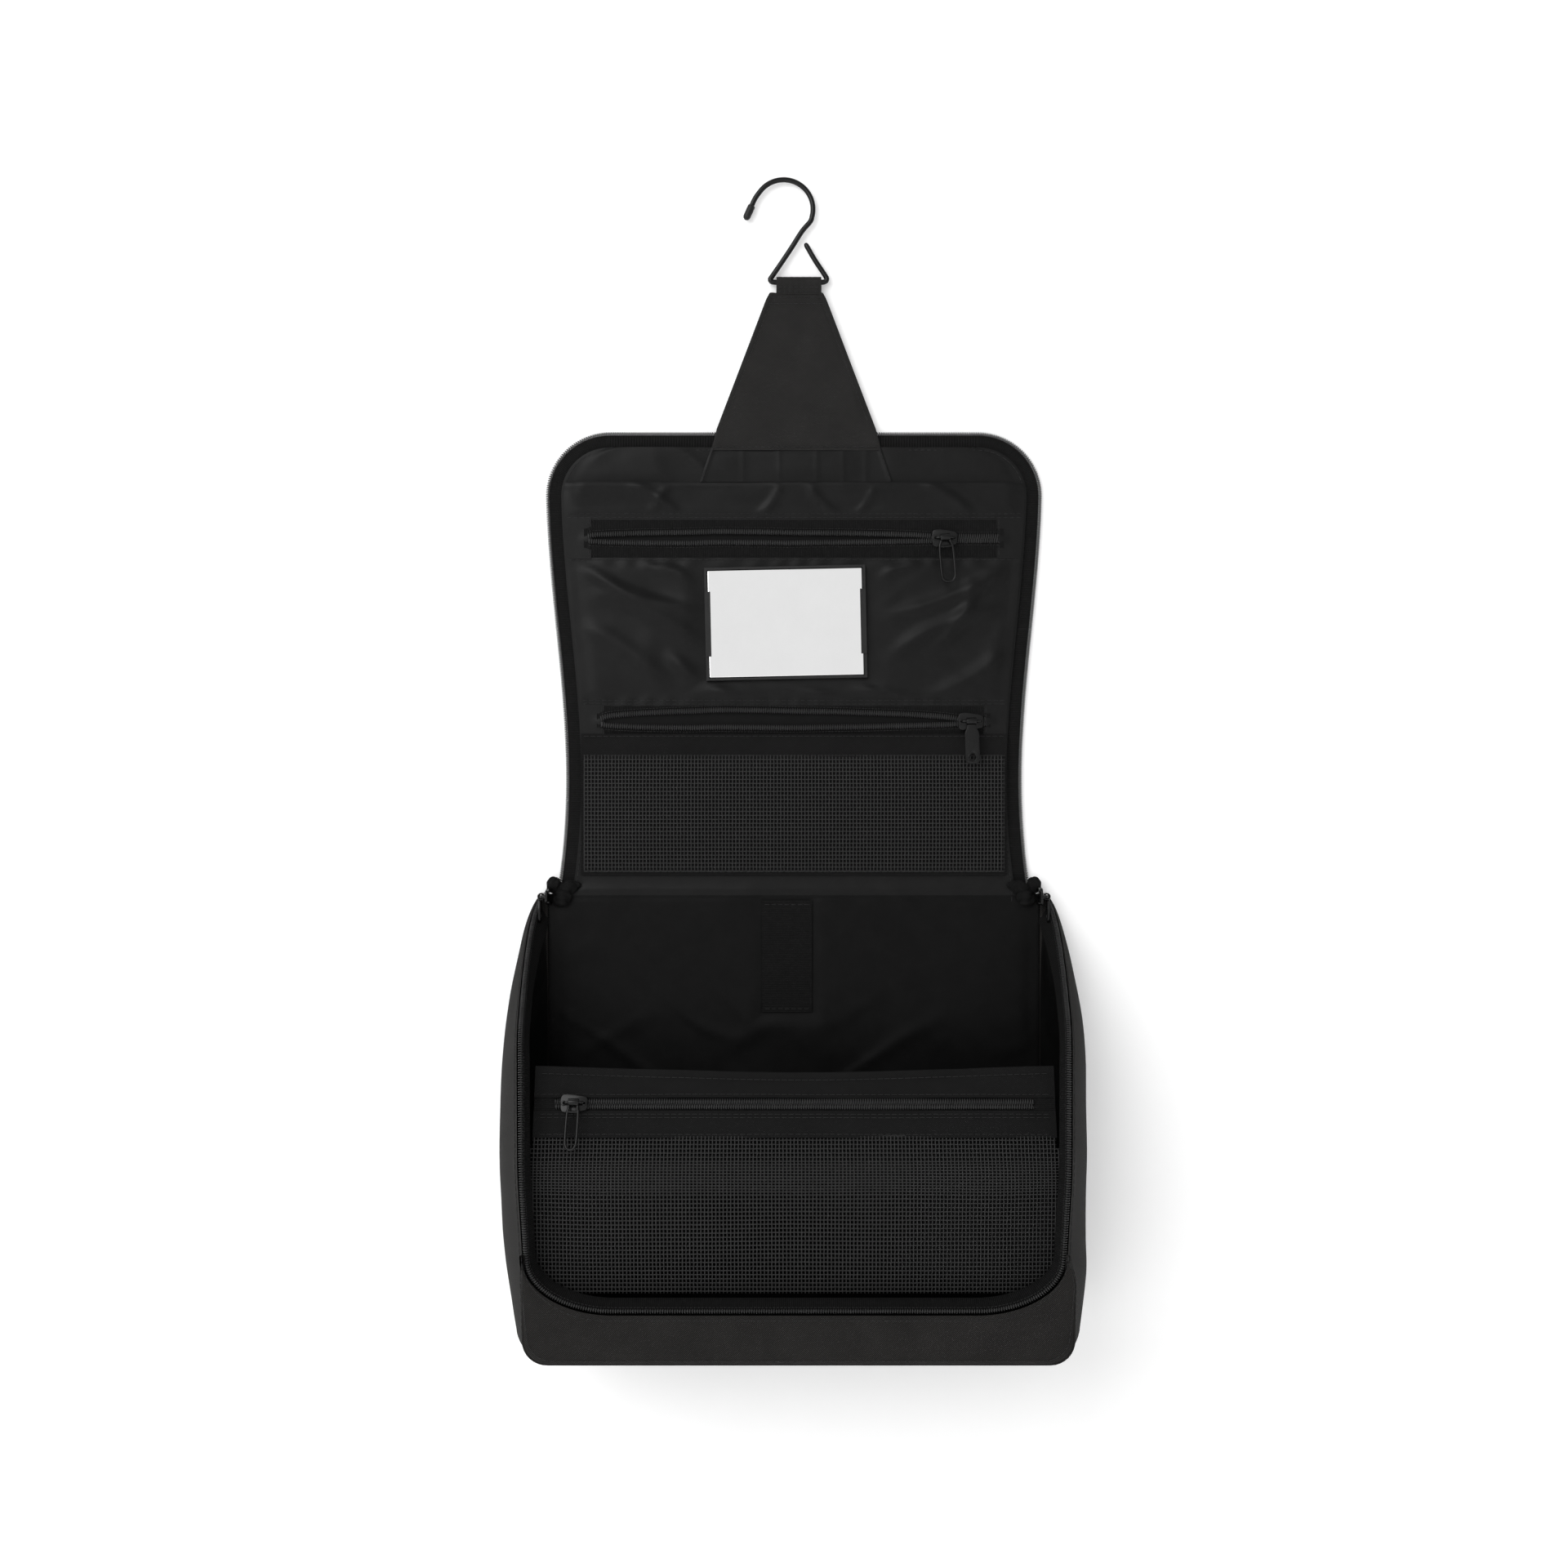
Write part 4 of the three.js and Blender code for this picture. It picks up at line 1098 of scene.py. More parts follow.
def make_lid_net():
    """The lid's net pocket: a dark sheet behind the net as painted shade, then its net, band along the
    top, hem and side bindings.
    """
    def height(x, t):
        side = sewn_edge(POCKET_HALF - np.abs(x), 26)
        ends = smooth((t - 7) / 16) * smooth((62 - t) / 16)
        return 2.0 + side * ends * (1.6 + 0.7 * value_noise(x / 34, t / 24, 131))

    def shade_sheet_height(x, t):
        return 0.75 + sewn_edge(POCKET_HALF - np.abs(x), 12) * wrinkles(x, t, 141, 0.3)

    def band(x, t):
        wave = 0.3 * value_noise(x / 25, t / 14, 137)
        return 1.9 + wave + 0.35 * ridge(t, 61.0, 0.9) + 0.3 * ridge(t, 70.6, 0.8)

    xs = np.linspace(-POCKET_HALF, POCKET_HALF, 110)
    # A dark sheet just over the lining behind the net: painted shade for the net's holes.
    flat_sheet("lid_net_painted_shade", xs, np.linspace(6, 70, 44), shade_sheet_height, 0.3, SHADED_LINING,
               "lid_low")
    threads = net_threads(-POCKET_HALF + 1.5, POCKET_HALF - 1.5, 7.6, 61.6, height, lid_point)
    tubes_piece("lid_net_threads", threads, NET, "lid_low", nodes=["lid_mesh_pocket"])
    flat_sheet("lid_net_band", xs, np.linspace(60, 71.3, 16), band, 0.6, BAND, "lid_low")
    flat_sheet("lid_net_hem", xs, np.linspace(5.6, 8.6, 7), 1.95, 0.8, TAPE, "lid_low")
    lines = []
    for t_row, lift in ((61.3, 2.3), (70.2, 2.3), (7.2, 2.05)):
        lines += seam_across(POCKET_HALF - 1, t_row, lift)
    for label, sign in (("left", -1), ("right", 1)):
        side_x = np.sort(sign * (POCKET_HALF - np.array([2.6, 1.7, 0.8, 0])))
        flat_sheet(f"lid_net_binding_{label}", side_x, np.linspace(6, 61, 40), 2.0, 0.7, TAPE,
                   "lid_low")
        edge = lid_point(sign * (POCKET_HALF - 1.3), np.linspace(8, 59, 50), 2.1)
        lines += stitches(edge, FRONT, radius=0.15)
    sew("lid_net_stitches", lines, "lid_low")


# ---- mirror ------------------------------------------------------------------------------
def bevelled_copy(node, name, material, width, segments=3):
    """A CAD solid's own shape with its hard edges rounded."""
    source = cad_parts[node]
    mesh = source.data.copy()
    mesh.name = name
    mesh.materials.clear()
    mesh.materials.append(material)
    work = bmesh.new()
    work.from_mesh(mesh)
    bmesh.ops.remove_doubles(work, verts=work.verts, dist=1e-6)
    bmesh.ops.dissolve_limit(work, angle_limit=math.radians(2), verts=work.verts, edges=work.edges)
    sharp = [e for e in work.edges if e.is_manifold and e.calc_face_angle(0) > math.radians(35)]
    bmesh.ops.bevel(work, geom=sharp, offset=width * MM, segments=segments, profile=0.6, affect="EDGES",
                    clamp_overlap=True)
    bmesh.ops.recalc_face_normals(work, faces=work.faces)
    for face in work.faces:
        face.smooth = face.calc_area() < 4e-6
    work.to_mesh(mesh)
    work.free()
    obj = bpy.data.objects.new(name, mesh)
    bpy.context.scene.collection.objects.link(obj)
    return obj


def make_mirror():
    """The mirror and its tray keep the CAD's shapes."""
    tray = bevelled_copy("mirror_tray", "mirror_frame", PLASTIC, 0.3)
    finish_piece(tray, "lid_mid", nodes=["mirror_tray"])
    glass = bevelled_copy("mirror_plate", "mirror_glass", MIRROR, 0.2, 2)
    finish_piece(glass, "lid_mid", nodes=["mirror_plate"])


# ---- zip sliders and pullers -----------------------------------------------------------
# Drawn about the chain's centre in (x, t, n): along the zip, across it, and out from it.
PIVOT = 4.6            # how far out from the chain a puller turns


def rounded(corners, radius):
    """A polygon's outline with its corners rounded."""
    corners = np.asarray(corners, float)
    out = []
    for i, corner in enumerate(corners):
        before, after = corners[i - 1] - corner, corners[(i + 1) % len(corners)] - corner
        reach = min(radius, np.linalg.norm(before) / 2, np.linalg.norm(after) / 2)
        start = corner + before / np.linalg.norm(before) * reach
        end = corner + after / np.linalg.norm(after) * reach
        for s in np.linspace(0, 1, 5):
            out.append((1 - s) ** 2 * start + 2 * s * (1 - s) * corner + s**2 * end)
    return np.array(out)


def circle(x, y, radius, count=20):
    """A circle's outline."""
    turn = np.linspace(0, 2 * np.pi, count, endpoint=False)
    return np.stack([x + radius * np.cos(turn), y + radius * np.sin(turn)], 1)


def plate(outlines, low, high, bevel):
    """A flat plate with rounded edges between two heights; outlines after the first are holes."""
    curve = bpy.data.curves.new("plate", "CURVE")
    curve.dimensions = "2D"
    curve.fill_mode = "BOTH"
    curve.extrude = (high - low) / 2 - bevel
    curve.bevel_depth = bevel
    curve.bevel_resolution = 2
    curve.offset = -bevel
    for outline in outlines:
        spline_made = curve.splines.new("POLY")
        spline_made.points.add(len(outline) - 1)
        for point, (x, y) in zip(spline_made.points, outline):
            point.co = (x, y, 0, 1)
        spline_made.use_cyclic_u = True
    holder = bpy.data.objects.new("plate", curve)
    bpy.context.scene.collection.objects.link(holder)
    bpy.context.view_layer.update()
    mesh = bpy.data.meshes.new_from_object(holder.evaluated_get(bpy.context.evaluated_depsgraph_get()))
    work = bmesh.new()
    work.from_mesh(mesh)
    bmesh.ops.remove_doubles(work, verts=work.verts, dist=1e-4)
    bmesh.ops.recalc_face_normals(work, faces=work.faces)
    work.verts.ensure_lookup_table()
    points = np.array([v.co[:] for v in work.verts]) + [0, 0, (low + high) / 2]
    faces = [[v.index for v in face.verts] for face in work.faces]
    work.free()
    bpy.data.objects.remove(holder)
    bpy.data.curves.remove(curve)
    bpy.data.meshes.remove(mesh)
    return points, faces, points[:, :2]


def slider_parts():
    """A slider's deck, its two cheeks, and the bridge on its collars."""
    right = [(-5.9, 2.2), (-5.2, 3.9), (-2.4, 4.25), (2.2, 3.5), (5.0, 3.0), (5.9, 1.8)]
    outline = rounded(right + [(x, -t) for x, t in right[::-1]], 1.1)
    deck = plate([outline[::-1]], 1.25, 2.35, 0.3)
    cheeks = []
    for sign in (1, -1):
        rail = [(-5.4, 2.7), (-2.4, 3.75), (2.0, 3.1), (5.4, 2.4)]
        line = spline([(x, sign * t, 0.9) for x, t in rail], 0.6)
        cheeks.append(tube(line, 0.5, 10, flat=1.4, up=(0, 0, 1)))
    arch = [(-4.5, 0, 2.0), (-4.3, 0, 3.4), (-3.5, 0, 4.5), (-1.5, 0, 4.72), (1.5, 0, 4.72),
            (3.5, 0, 4.5), (4.3, 0, 3.4), (4.5, 0, 2.0)]
    bridge = tube(spline(arch, 0.35), 0.62, 12)
    collars = [plate([circle(sign * 4.5, 0, 1.15)[::-1]], 2.2, 2.75, 0.2) for sign in (1, -1)]
    return [deck, bridge, *cheeks, *collars]


def eye_part():
    """The rolled eye that turns on the slider's bridge."""
    points, faces, uv = plate([circle(0, 0, 1.7, 28), circle(0, 0, 0.95, 28)], -2.3, 2.3, 0.25)
    return [(points[:, [2, 0, 1]], faces, uv)]


def wire_puller(half):
    """A long loop of wire with a cross bar near its eye."""
    right = [(1.9, -1.3, 0.7), (half - 0.4, -3.2, 0.8), (half, -6, 0.8), (half, -16.6, 0.8),
             (half - 0.5, -19.2, 0.8), (half * 0.45, -20.3, 0.8), (0, -20.45, 0.8)]
    left = [(-x, t, n) for x, t, n in right[-2::-1]]
    frame_wire = tube(spline(right + left, 0.4), 0.6, 12)
    lip = tube(spline([(-half, -4.2, 0.8), (0, -4.4, 0.8), (half, -4.2, 0.8)], 0.4), 0.5, 10)
    return eye_part() + [frame_wire, lip]


def tab_puller(length, width, hole_t, hole_r):
    """A flat tab that widens from its eye, with a ringed hole near its end."""
    half = width / 2
    right = [(2.1, -1.5), (2.3, -3.4), (half, -5.2), (half, -length + 1.2), (half - 1.6, -length)]
    outline = [(-2.1, -1.5)] + right + [(-x, t) for x, t in right[:0:-1]]
    body = plate([rounded(outline, 1.0)[::-1], circle(0, hole_t, hole_r)], 0.15, 1.35, 0.25)
    ring_line = np.insert(circle(0, hole_t, hole_r + 0.35, 24), 2, 1.3, axis=1)
    ring = tube(ring_line, 0.28, 8, closed=True, up=(0, 0, 1))
    return eye_part() + [body, ring]


def placed(parts, origin, axes, tilt=0.0):
    """Parts turned about the zip's outward axis by tilt and set at the origin on these axes."""
    cosine, sine = math.cos(math.radians(tilt)), math.sin(math.radians(tilt))
    spin = np.array([[cosine, -sine, 0], [sine, cosine, 0], [0, 0, 1]])
    basis = np.array(axes, float).T
    origin = np.asarray(origin, float)
    return [((points @ spin.T) @ basis.T + origin, faces, uv) for points, faces, uv in parts]


LID_AXES = ((1, 0, 0), (0, 0, 1), (0, -1, 0))
FACE_TURN = math.radians(90 - LID_ANGLES[1])
FACE_AXES = ((1, 0, 0), (0, math.cos(FACE_TURN), math.sin(FACE_TURN)),
             (0, -math.sin(FACE_TURN), math.cos(FACE_TURN)))


def make_slider(name, origin, axes, puller, tilt, slider_body):
    """A slider and the puller that hangs on its bridge, tilted a little."""
    tubes_piece(f"{name}_slider_cast", placed(slider_parts(), origin, axes), STEEL,
                slider_body, nodes=[f"{name}_slider"])
    pivot = np.asarray(origin, float) + np.asarray(axes[2], float) * PIVOT
    tubes_piece(f"{name}_puller_cast", placed(puller, pivot, axes, tilt), STEEL,
                f"{name}_puller", nodes=[f"{name}_puller"])


def make_sliders():
    for name, puller, tilt in (("zip_one", wire_puller(3.1), 5),
                               ("zip_two", tab_puller(19.8, 6.6, -16.6, 1.5), 1.5)):
        origin = (BAG_X + ZIPS[name]["slider"], -1.8, WAIST_Z + ZIPS[name]["chain"])
        make_slider(name, origin, LID_AXES, puller, tilt, f"{name}_slider")
    face_y, face_z = rim(POCKET_CHAIN, FACE_N)
    face = np.array([BAG_X, face_y, WAIST_Z + face_z])
    origin = face + np.array(FACE_AXES[0]) * -95.4 + np.array(FACE_AXES[2]) * 0.2
    make_slider("zip_three", origin, FACE_AXES, wire_puller(2.4), -2, "zip_three_slider")
    for name, side in (("main_right", 1), ("main_left", -1)):
        origin = (BAG_X + side * 112.2, -5.2, WAIST_Z - 4)
        axes = ((0, side, 0), (0, 0, 1), (side, 0, 0))
        make_slider(name, origin, axes, tab_puller(12.3, 6.0, -9.2, 1.4), 0, "body")


# ---- body: boxing strip, front and linings --------------------------------------------------
SIDE_START = 3.0       # drops below the waist where the sides start and turn under
SIDE_END = BODY_HEIGHT - BODY_CORNER
BOXING_COLS = 34       # points across the strip, from the back edge to the front


def boxing_points(inset, back_margin, front_margin):
    """The boxing strip as a grid: down the right side, along the bottom and up the left.

    Rows run round the bag, columns from the back edge forward."""
    drops = np.linspace(SIDE_START, SIDE_END, 78)
    turns = np.linspace(0, math.pi / 2, 15)[1:]
    radius = BODY_CORNER - inset
    side = np.concatenate([drops, np.full(len(turns), SIDE_END)])
    turn = np.concatenate([np.zeros(len(drops)), turns])
    drop = side + radius * np.sin(turn)
    aside = radius * (1 - np.cos(turn)) + inset
    front_x = rim_half(rim_at(side, RIM_SEAM_N)) + 0.5 - aside
    back_x = BACK_HALF + 1.5 - aside
    front_n = RIM_SEAM_N - 0.8 * smooth((side - 150) / 18)
    front_y = rim(rim_at(np.minimum(drop, BODY_HEIGHT - 4), front_n), front_n)[0]
    start_y = 0.5
    depth = np.maximum(start_y - front_y, 2.0)[:, None]
    shares = np.linspace(0, 1, BOXING_COLS)[None]
    share = (back_margin + (depth - back_margin - front_margin) * shares) / depth
    arch = np.sin(np.pi * share)
    bulge = side_bulge(side)[:, None] * arch
    outward = np.cos(turn)[:, None] ** 0.7
    straight_x = back_x[:, None] + (front_x - back_x)[:, None] * share
    y = start_y - depth * share
    z = -drop[:, None] - BOTTOM_SAG * smooth((drop - 150) / 46)[:, None] * arch
    right_low = RIGHT_LOW * smooth((side - 122) / 50)[:, None] * arch
    flare = right_flare(rim_at(np.minimum(drop, BODY_HEIGHT), SEAM_N))[:, None] * share ** 4
    right_x = straight_x + (RIGHT_FULLNESS * bulge + right_low) * outward + flare
    right = np.stack([right_x, y, z], -1)
    left = np.stack([-straight_x - bulge * outward, y, z], -1)[::-1]
    reach = right[-1, 0, 0]
    across = np.linspace(reach, -reach, 62)[1:-1]
    bottom = np.repeat(right[-1][None], len(across), 0)
    bottom[..., 0] = across[:, None]
    points = np.concatenate([right, bottom, left])
    run = np.repeat(travelled(points[:, BOXING_COLS // 2])[:, None], BOXING_COLS, 1)
    forward = np.stack([travelled(row) for row in points])
    free = smooth(np.minimum(forward, forward[:, -1:] - forward) / 9)
    small_waves = 0.6 * value_noise(run / 26, forward / 24, 201)
    wave = small_waves + 0.5 * value_noise(run / 60, forward / 30, 202)
    points = points + grid_normals(points) * (free * wave)[..., None]
    points[..., 0] += BAG_X
    points[..., 2] += WAIST_Z
    return points, np.stack([forward, run], -1)


def make_boxing():
    """The strip round the body's sides and bottom: canvas and lining, piped and stitched."""
    points, uv = boxing_points(0, 0, 0)
    sheet_piece("boxing_canvas", points, 0.8, CANVAS, uv, "body",
                ["gusset_right", "gusset_left", "gusset_bottom"])
    inner, inner_uv = boxing_points(1.4, 1.2, 4.0)
    column = np.arange(BOXING_COLS)
    off_seams = smooth(np.minimum(column, column[::-1]) / 6)
    loose = wrinkles(inner_uv[..., 0], inner_uv[..., 1], 211, 0.9) * off_seams[None]
    inner = inner - grid_normals(inner) * loose[..., None]
    # The boxing's lining is the darker copy: painted shade inside the body.
    sheet_piece("boxing_lining", inner, 0.5, SHADED_LINING, inner_uv, "body",
                ["lining_right", "lining_left", "lining_bottom"])
    back_line = points[:, 0] + np.array([0, -0.2, 0])
    tubes_piece("back_piping", [tube(resample(back_line, 2.0), 1.05, 10)], CANVAS, "body")
    normals = grid_normals(points)
    for name, col in (("back_edge_stitches", 1), ("front_edge_stitches", BOXING_COLS - 2)):
        line = points[:, col] + normals[:, col] * 0.12
        spaced = resample(np.concatenate([line, normals[:, col]], 1), 3.0)
        lines = []
        for here, there in zip(spaced[:-1], spaced[1:]):
            lines += stitches(np.stack([here[:3], there[:3]]), here[3:], radius=0.16, lift=0.12)
        sew(name, lines, "body")


# Each bunch of cloth at the right end of the waist: middle from the waist, half sizes, lean.
WAIST_BUNCHES = (
    ((105.5, -2.2, -0.5), (6.2, 2.4, 3.0), 24),
    ((107.5, -3.6, -5.0), (4.4, 2.2, 3.6), 58),
    ((111.5, -2.0, 1.2), (3.4, 2.4, 3.4), -30),
)


def cloth_bunch(middle, size, lean, side):
    """A rounded lump of gathered cloth; side is 1 at the right and -1 mirrored at the left."""
    turn = np.linspace(0, 2 * np.pi, 36, endpoint=False)
    rise = np.linspace(-np.pi / 2 + 0.05, np.pi / 2 - 0.05, 22)
    a, b = np.meshgrid(turn, rise)
    gather = 1 + 0.1 * np.sin(3 * a + 2.2 * b) + 0.07 * np.sin(7 * a - 3 * b + middle[0])
    wide, deep, tall = size
    across = np.cos(b) * np.cos(a) * gather * wide
    out = np.cos(b) * np.sin(a) * gather * deep
    up = np.sin(b) * gather * tall
    spin = math.radians(lean)
    x = BAG_X + side * (middle[0] + across * math.cos(spin) + up * math.sin(spin))
    z = WAIST_Z + middle[2] + up * math.cos(spin) - across * math.sin(spin)
    points = np.stack([x, middle[1] + out, z], -1)
    index = np.arange(a.size).reshape(a.shape)
    after = np.roll(index, -1, 1)
    quads = np.stack([index[:-1], after[:-1], after[1:], index[1:]], -1).reshape(-1, 4)
    faces = quads.tolist() + [index[0][::-1].tolist(), index[-1].tolist()]
    if side < 0:
        faces = [face[::-1] for face in faces]
    return points.reshape(-1, 3), faces, np.stack([a * 5, b * 5], -1).reshape(-1, 2)


def make_corner_folds():
    """The gathered ends of the lid's tape and the boxing, tucked in beside each main slider."""
    for name, side in (("right", 1), ("left", -1)):
        parts = [cloth_bunch(*bunch, side) for bunch in WAIST_BUNCHES]
        tubes_piece(f"waist_fold_{name}", parts, TAPE, "body")


def rim_path(inset, step=1.5):
    """The zip line round the body's opening as (x, t), from the right end of the waist."""
    straight_end = RIM_END - RIM_CORNER_T
    t = np.arange(3.0, straight_end, step)
    right = np.stack([rim_half(t) - inset, t], 1)
    centre = float(rim_half(straight_end)) - RIM_CORNER_X
    turn = np.radians(np.linspace(0, 90, 34))
    arc = np.stack([centre + (RIM_CORNER_X - inset) * np.cos(turn),
                    straight_end + (RIM_CORNER_T - inset) * np.sin(turn)], 1)
    across = np.linspace(centre, 0, 56)[1:]
    half = np.concatenate([right, arc, np.stack([across, np.full(len(across), RIM_END - inset)], 1)])
    return np.concatenate([half, (half * [-1, 1])[-2::-1]])


def make_rim():
    """The zip tape, coil and sewing round the body's opening."""
    depths = np.array([4.6, 5.4, 7.0, 9.0, 11.0, 12.4])
    columns = []
    for n in depths:
        share = (n - depths[0]) / 7.8
        x, t = rim_path(0.9 + 3.4 * smooth(share)).T
        lean = 2.5 * share * (1 - smooth(t / 60))
        # Near the waist the profile is too shallow for the whole tape, so it stops at the wall.
        shallow = np.minimum(n, (np.interp(t, RIM_T, RIM_DEPTH) + 0.6) / np.cos(rim_angle(t)))
        columns.append(rim_point(x - np.sign(x) * lean, t, shallow))
    points = np.stack(columns, 1)
    uv = np.stack(grid(depths, travelled(points[:, 2])), -1)
    sheet_piece("rim_tape", points, 0.5, TAPE, uv, "body", ["body_tape"])
    x, t = rim_path(1.3).T
    centre = rim_point(x, t, 4.0)
    inward = rim_point(x, t, 5.0) - centre
    inward /= np.linalg.norm(inward, axis=1, keepdims=True)
    turns = coil_turns(centre, -inward, wide=0.85)
    tubes_piece("rim_coil_turns", [turns], COIL, "body", nodes=["body_coil"])
    x, t = rim_path(2.5).T
    sewing = stitches(rim_point(x, t, RIM_SEAM_N), FRONT, length=1.1, spacing=1.6, radius=0.15, lift=0.1)
    sew("rim_coil_sewing", sewing, "body")


PANEL_HALF = float(rim_half(HORN)) + 0.3


def panel_outline():
    """The front panel's seam with the boxing, from its right end round to its left."""
    foot = float(rim_at(BODY_HEIGHT, SEAM_N))
    centre_x, centre_t = PANEL_HALF - BODY_CORNER, foot - BODY_CORNER
    turn = np.radians(np.linspace(0, 90, 14))[1:]
    side = [(PANEL_HALF, t) for t in np.linspace(HORN, centre_t, 24)]
    arc = [(centre_x + BODY_CORNER * math.cos(a), centre_t + BODY_CORNER * math.sin(a)) for a in turn]
    right_half = side + arc + [(x, foot) for x in np.linspace(centre_x, 0, 60)[1:]]
    return np.array(right_half + [(-x, t) for x, t in right_half[-2::-1]])


def respaced(path, horn_share):
    """A path as 321 points, with the first and last 16 % of them over its two horns."""
    length = travelled(path)
    shares = np.interp(np.linspace(0, 1, 321), [0, 0.16, 0.84, 1], [0, horn_share, 1 - horn_share, 1])
    return np.stack([np.interp(shares * length[-1], length, path[:, i]) for i in (0, 1)], 1)


def make_front():
    """The low front panel: its upper edge follows the zip line, its outer edge the boxing seam."""
    zip_line = rim_path(-0.2, 1.0)
    inner_line = respaced(zip_line[zip_line[:, 1] >= HORN], 0.17)
    outer_line = respaced(panel_outline(), 0.165)
    share = np.linspace(0, 1, 22)[None]
    flat = inner_line[:, None] + (outer_line - inner_line)[:, None] * share[..., None]
    x, t = flat[..., 0], flat[..., 1]
    x = x + right_flare(t) * share * smooth(x / PANEL_HALF)
    free = np.sin(np.pi * share) ** 0.6
    sag = 0.9 * value_noise(x / 40, t / 22, 301) + 0.4 * value_noise(x / 15, t / 18, 302)
    turned_back = 1.6 * smooth((share - 0.93) / 0.07)
    n = SEAM_N - free * (0.8 + sag) * 0.8 - 0.35 * ridge(share, 0.05, 0.03) + turned_back
    points = rim_point(x, t, n)
    sheet_piece("front_canvas", points[:, ::-1], 0.9, CANVAS, np.stack([x, -t], -1)[:, ::-1],
                "body", ["front_panel"])
    seam = resample(points[:, -1], 2.0)
    place = np.arange(len(seam))
    from_end = np.minimum(place, place[::-1])
    piping = tube(seam, 0.2 + 0.4 * smooth(from_end / 9), 10)
    tubes_piece("front_piping", [piping], CANVAS, "body")
    lines = []
    for row in (2, -3):
        lines += stitches(resample(points[:, row], 3.0), FRONT, radius=0.17, lift=0.2)
    sew("front_canvas_stitches", lines, "body")


def make_elastic():
    """The elastic loop on the back lining."""
    def height(x, t):
        return 1.5 + 0.25 * value_noise(x / 6, t / 8, 331) - 0.3 * ridge(t, -34.6, 0.7)

    flat_sheet("elastic_loop", np.linspace(-14.8, 8.4, 16), np.linspace(-58, -6, 40), height, 0.8, TAPE,
               "body", ["elastic_band"])
    lines = []
    for t_row in (-8.0, -56.4):
        lines += stitches(lid_point(np.linspace(-13.8, 7.4, 20), t_row, 1.6), FRONT, radius=0.15)
    sew("elastic_stitches", lines, "body")


# ---- body: mesh pocket across the front -----------------------------------------------------------


POCKET_XS = np.linspace(-FACE_HALF, FACE_HALF, 170)
NET_FOOT = 206.0       # the lower edge of both nets, along the closed lid


def pocket_top(x):
    """The pocket's upper edge sags between its two ends."""
    return 100.6 + 2.8 * np.cos(np.clip(x / FACE_HALF, -1, 1) * np.pi / 2) ** 1.5


def face_point(x, t, n):
    """A point on the pocket's face; n is how far it stands out towards the room."""
    return rim_point(x, t, FACE_N - n)


def band_wave(x, t, broad, fine, seed):
    """How far the pocket's band stands out, from its broad and fine waves."""
    away = sewn_edge(FACE_HALF - np.abs(x), 14)
    waves = broad * value_noise(x / 38, t / 20, 401) + fine * value_noise(x / 12, t / 14, seed)
    return 0.5 + away * waves


def upper_band(x, t):
    from_top = t - pocket_top(x)
    hem = 0.35 * ridge(from_top, 2.6, 0.8) - 0.25 * ridge(from_top, 4.2, 0.5)
    return band_wave(x, t, 0.9, 0.4, 402) + hem


def lower_band(x, t):
    return band_wave(x, t, 0.7, 0.3, 403)


def pocket_strip(name, low, high, height, thickness, material, nodes=()):
    """A strip of the pocket's face between two lines of t."""
    x = np.repeat(POCKET_XS[None], 12, 0)
    t = np.linspace(low + 0 * POCKET_XS, high + 0 * POCKET_XS, 12)
    n = height(x, t) if callable(height) else height
    uv = np.stack([x, -t], -1)
    sheet_piece(name, face_point(x, t, n), thickness, material, uv, "body", nodes)


def make_pocket_band():
    """The band above the front net, its zip between two tapes, and their stitches."""
    chain, xs = POCKET_CHAIN, POCKET_XS
    pocket_strip("front_pocket_band_upper", chain - 2.9, pocket_top(xs), upper_band, 0.7, BAND,
                 ["front_pocket_band"])
    pocket_strip("front_pocket_band_lower", 131.9, chain + 2.9, lower_band, 0.7, BAND)
    pocket_strip("front_pocket_tape_upper", chain, chain - 4.5, -0.1, 0.4, TAPE)
    pocket_strip("front_pocket_tape_lower", chain + 4.5, chain, -0.1, 0.4, TAPE)
    outward = np.array(FACE_AXES[2])
    zip_xs = xs[np.abs(xs) <= 104]
    for side, sign, phase in (("upper", -1, 0.0), ("lower", 1, 0.5)):
        line = face_point(zip_xs, chain + sign * 1.0, 0.55)
        turns = coil_turns(line, outward, wide=1.1, phase=phase)
        tubes_piece(f"zip_three_coil_{side}_turns", [turns], COIL, "body",
                    nodes=[f"zip_three_coil_{side}"])
    lines = []
    for band, t_row in ((upper_band, pocket_top(xs) + 3.4), (upper_band, chain - 4.2),
                        (lower_band, chain + 4.4), (lower_band, chain + 5.9), (lower_band, 130.4)):
        t = t_row + 0 * xs
        line = face_point(xs, t, band(xs, t) + 0.12)
        lines += stitches(line[2:-2], outward, radius=0.15)
    sew("front_pocket_stitches", lines, "body")


def make_pocket_nets():
    """The front net and the second one behind it."""
    def net_height(x, t):
        side = sewn_edge(FACE_HALF - np.abs(x), 28)
        ends = smooth((t - 132) / 18) * smooth((207 - t) / 22)
        return 0.2 + side * ends * (1.4 + 1.2 * value_noise(x / 42, t / 30, 431))

    threads = net_threads(-FACE_HALF, FACE_HALF, 131.0, NET_FOOT, net_height, face_point, wings=2.4)
    tubes_piece("front_net_threads", threads, NET, "body", nodes=["front_pocket_mesh"])

    def back_height(x, t):
        away = sewn_edge(FACE_HALF - np.abs(x), 20) * sewn_edge(NET_FOOT - t, 12) * sewn_edge(t - 103, 12)
        return -4.2 - away * (1.5 + 1.5 * value_noise(x / 36, t / 30, 451))

    # The inner net takes the darker thread: painted shade inside the pocket.
    threads = net_threads(-FACE_HALF + 0.7, FACE_HALF, 103.5, NET_FOOT, back_height, face_point)
    tubes_piece("front_net_back_threads", threads, NET_BACK_SHADED, "body", nodes=["front_pocket_back"])


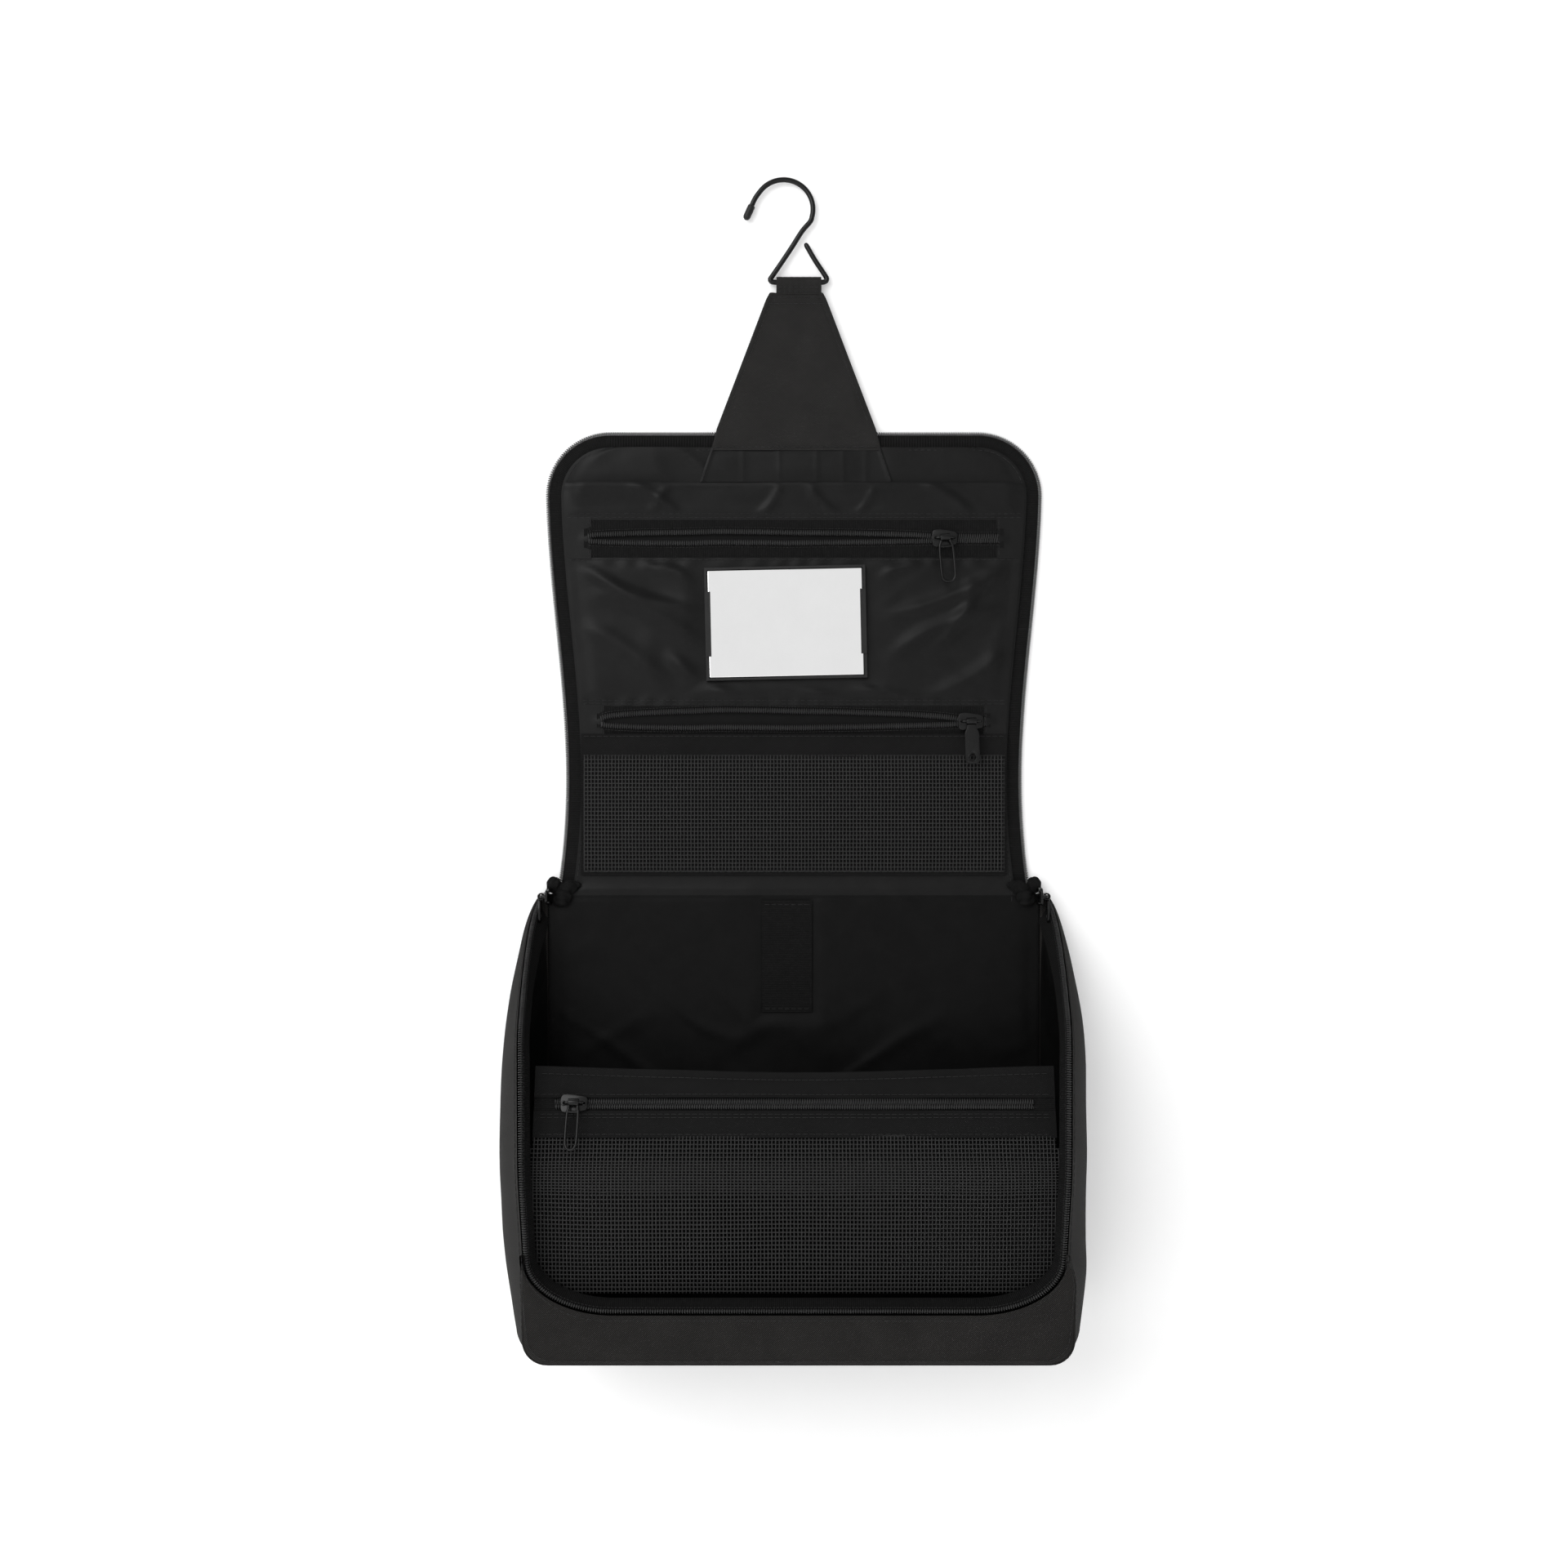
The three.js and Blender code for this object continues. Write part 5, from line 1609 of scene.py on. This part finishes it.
# ---- stage, light and camera ------------------------------------------------------------------------
def stage_material():
    """Plain white, unseen from behind so that the wall doesn't hide the bag's back.

    Its faint glow stands for the light of a bright studio in the bag's shadow."""
    made = Nodes("stage_white")
    made.colour(made.noise(made.place(), 2.0, 2), grey(0.90), grey(0.92))
    made.set(Roughness=0.9, Specular_IOR_Level=0.1, Emission_Color=(1, 1, 1, 1), Emission_Strength=0.17)
    clear = made.add("ShaderNodeBsdfTransparent")
    side = made.add("ShaderNodeNewGeometry")
    mix = made.add("ShaderNodeMixShader")
    made.link(side.outputs["Backfacing"], mix.inputs[0])
    made.link(made.shader.outputs[0], mix.inputs[1])
    made.link(clear.outputs[0], mix.inputs[2])
    made.link(mix.outputs[0], made.tree.nodes["Material Output"].inputs["Surface"])
    return made.material


def make_stage():
    wall_y, floor_z, half, front, top = 2.9, -760, 4000, -4000, 3000
    white = stage_material()
    foot = [(-half, wall_y, floor_z), (half, wall_y, floor_z)]
    wall = foot + [(half, wall_y, top), (-half, wall_y, top)]
    floor = [(-half, front, floor_z), (half, front, floor_z)] + foot[::-1]
    for name, corners in (("wall", wall), ("floor", floor)):
        make_object(name, corners, [[0, 1, 2, 3]], white)


def add_light(name, place, aim, size, power):
    """A round area light that faces a point."""
    light = bpy.data.lights.new(name, "AREA")
    light.shape = "DISK"
    light.size = size
    light.energy = power
    obj = bpy.data.objects.new(name, light)
    obj.location = place
    direction = (np.array(aim) - np.array(place)).tolist()
    obj.rotation_euler = Vector(direction).to_track_quat("-Z", "Y").to_euler()
    bpy.context.scene.collection.objects.link(obj)


def make_light_and_camera():
    scene = bpy.context.scene
    scene.view_settings.view_transform = "Standard"
    scene.world = bpy.data.worlds.new("studio")
    scene.world.use_nodes = True
    background = scene.world.node_tree.nodes["Background"]
    background.inputs[0].default_value = (1, 1, 1, 1)
    background.inputs[1].default_value = 0.5
    add_light("key", (-0.9, -1.4, 0.5), (0, 0, -0.3), 1.5, 19)
    add_light("fill", (-0.4, -2.3, 0.1), (0, 0, -0.25), 3.0, 7.2)
    camera = bpy.data.cameras.new("camera")
    camera.lens = 44.4
    camera.sensor_width = 36
    camera.clip_start = 0.01
    holder = bpy.data.objects.new("camera", camera)
    holder.location = (0, -0.9, -0.28)
    holder.rotation_euler = (math.pi / 2, 0, 0)
    scene.collection.objects.link(holder)
    scene.camera = holder


# Each cloth panel: how it is held and what it is sewn to.
SHEETS = {
    "strap_cloth": ("hung", ["strap_loop_webbing"]),
    "strap_base_patch": ("stretched", ["base_lining_upper"]),
    "slip_pocket_cloth": ("gathered", ["base_lining_upper"]),
    "mirror_panel_upper": ("stretched", ["base_lining_upper"]),
    "mirror_panel_middle": ("stretched", ["base_lining_middle"]),
    "base_lining_upper": ("stretched", ["outer_canvas_upper"]),
    "base_lining_middle": ("stretched", ["outer_canvas_middle"]),
    "base_lining_lower": ("stretched", ["outer_canvas_lower"]),
    "outer_canvas_upper": ("hung", ["strap_cloth"]),
    "outer_canvas_middle": ("hung", ["outer_canvas_upper"]),
    "outer_canvas_lower": ("hung", ["outer_canvas_middle"]),
    "lid_net_painted_shade": ("stretched", ["base_lining_lower"]),
    "lid_net_band": ("stretched", ["base_lining_lower"]),
    "boxing_canvas": ("stretched", ["outer_canvas_lower", "front_canvas"]),
    "boxing_lining": ("stretched", ["boxing_canvas"]),
    "front_canvas": ("stretched", ["boxing_canvas"]),
    "front_pocket_band_upper": ("stretched", ["boxing_lining"]),
    "front_pocket_band_lower": ("stretched", ["boxing_lining"]),
    "elastic_loop": ("stretched", ["base_lining_lower"]),
}


def declare_sheets():
    """Reads each panel's flat coordinates; nothing is declared with them."""
    for name, (held, rests_on) in SHEETS.items():
        obj = bpy.data.objects[name]
        cloth = np.zeros(len(obj.data.loops) * 2)
        obj.data.uv_layers["cloth"].data.foreach_get("uv", cloth)


make_light_and_camera()
make_stage()
make_hook()
make_strap_cloth()
make_strap_stitches()
make_strap_loop()
make_lid_cloth()
make_strap_base()
make_lid_edge()
make_slip_pocket()
for zip_name, zip_spec in ZIPS.items():
    make_chain(zip_name, zip_spec)
    make_zip_surround(zip_name, zip_spec)
make_mirror_panel()
make_lid_net()
make_mirror()
make_sliders()
make_boxing()
make_corner_folds()
make_rim()
make_front()
make_elastic()
make_pocket_band()
make_pocket_nets()
declare_sheets()
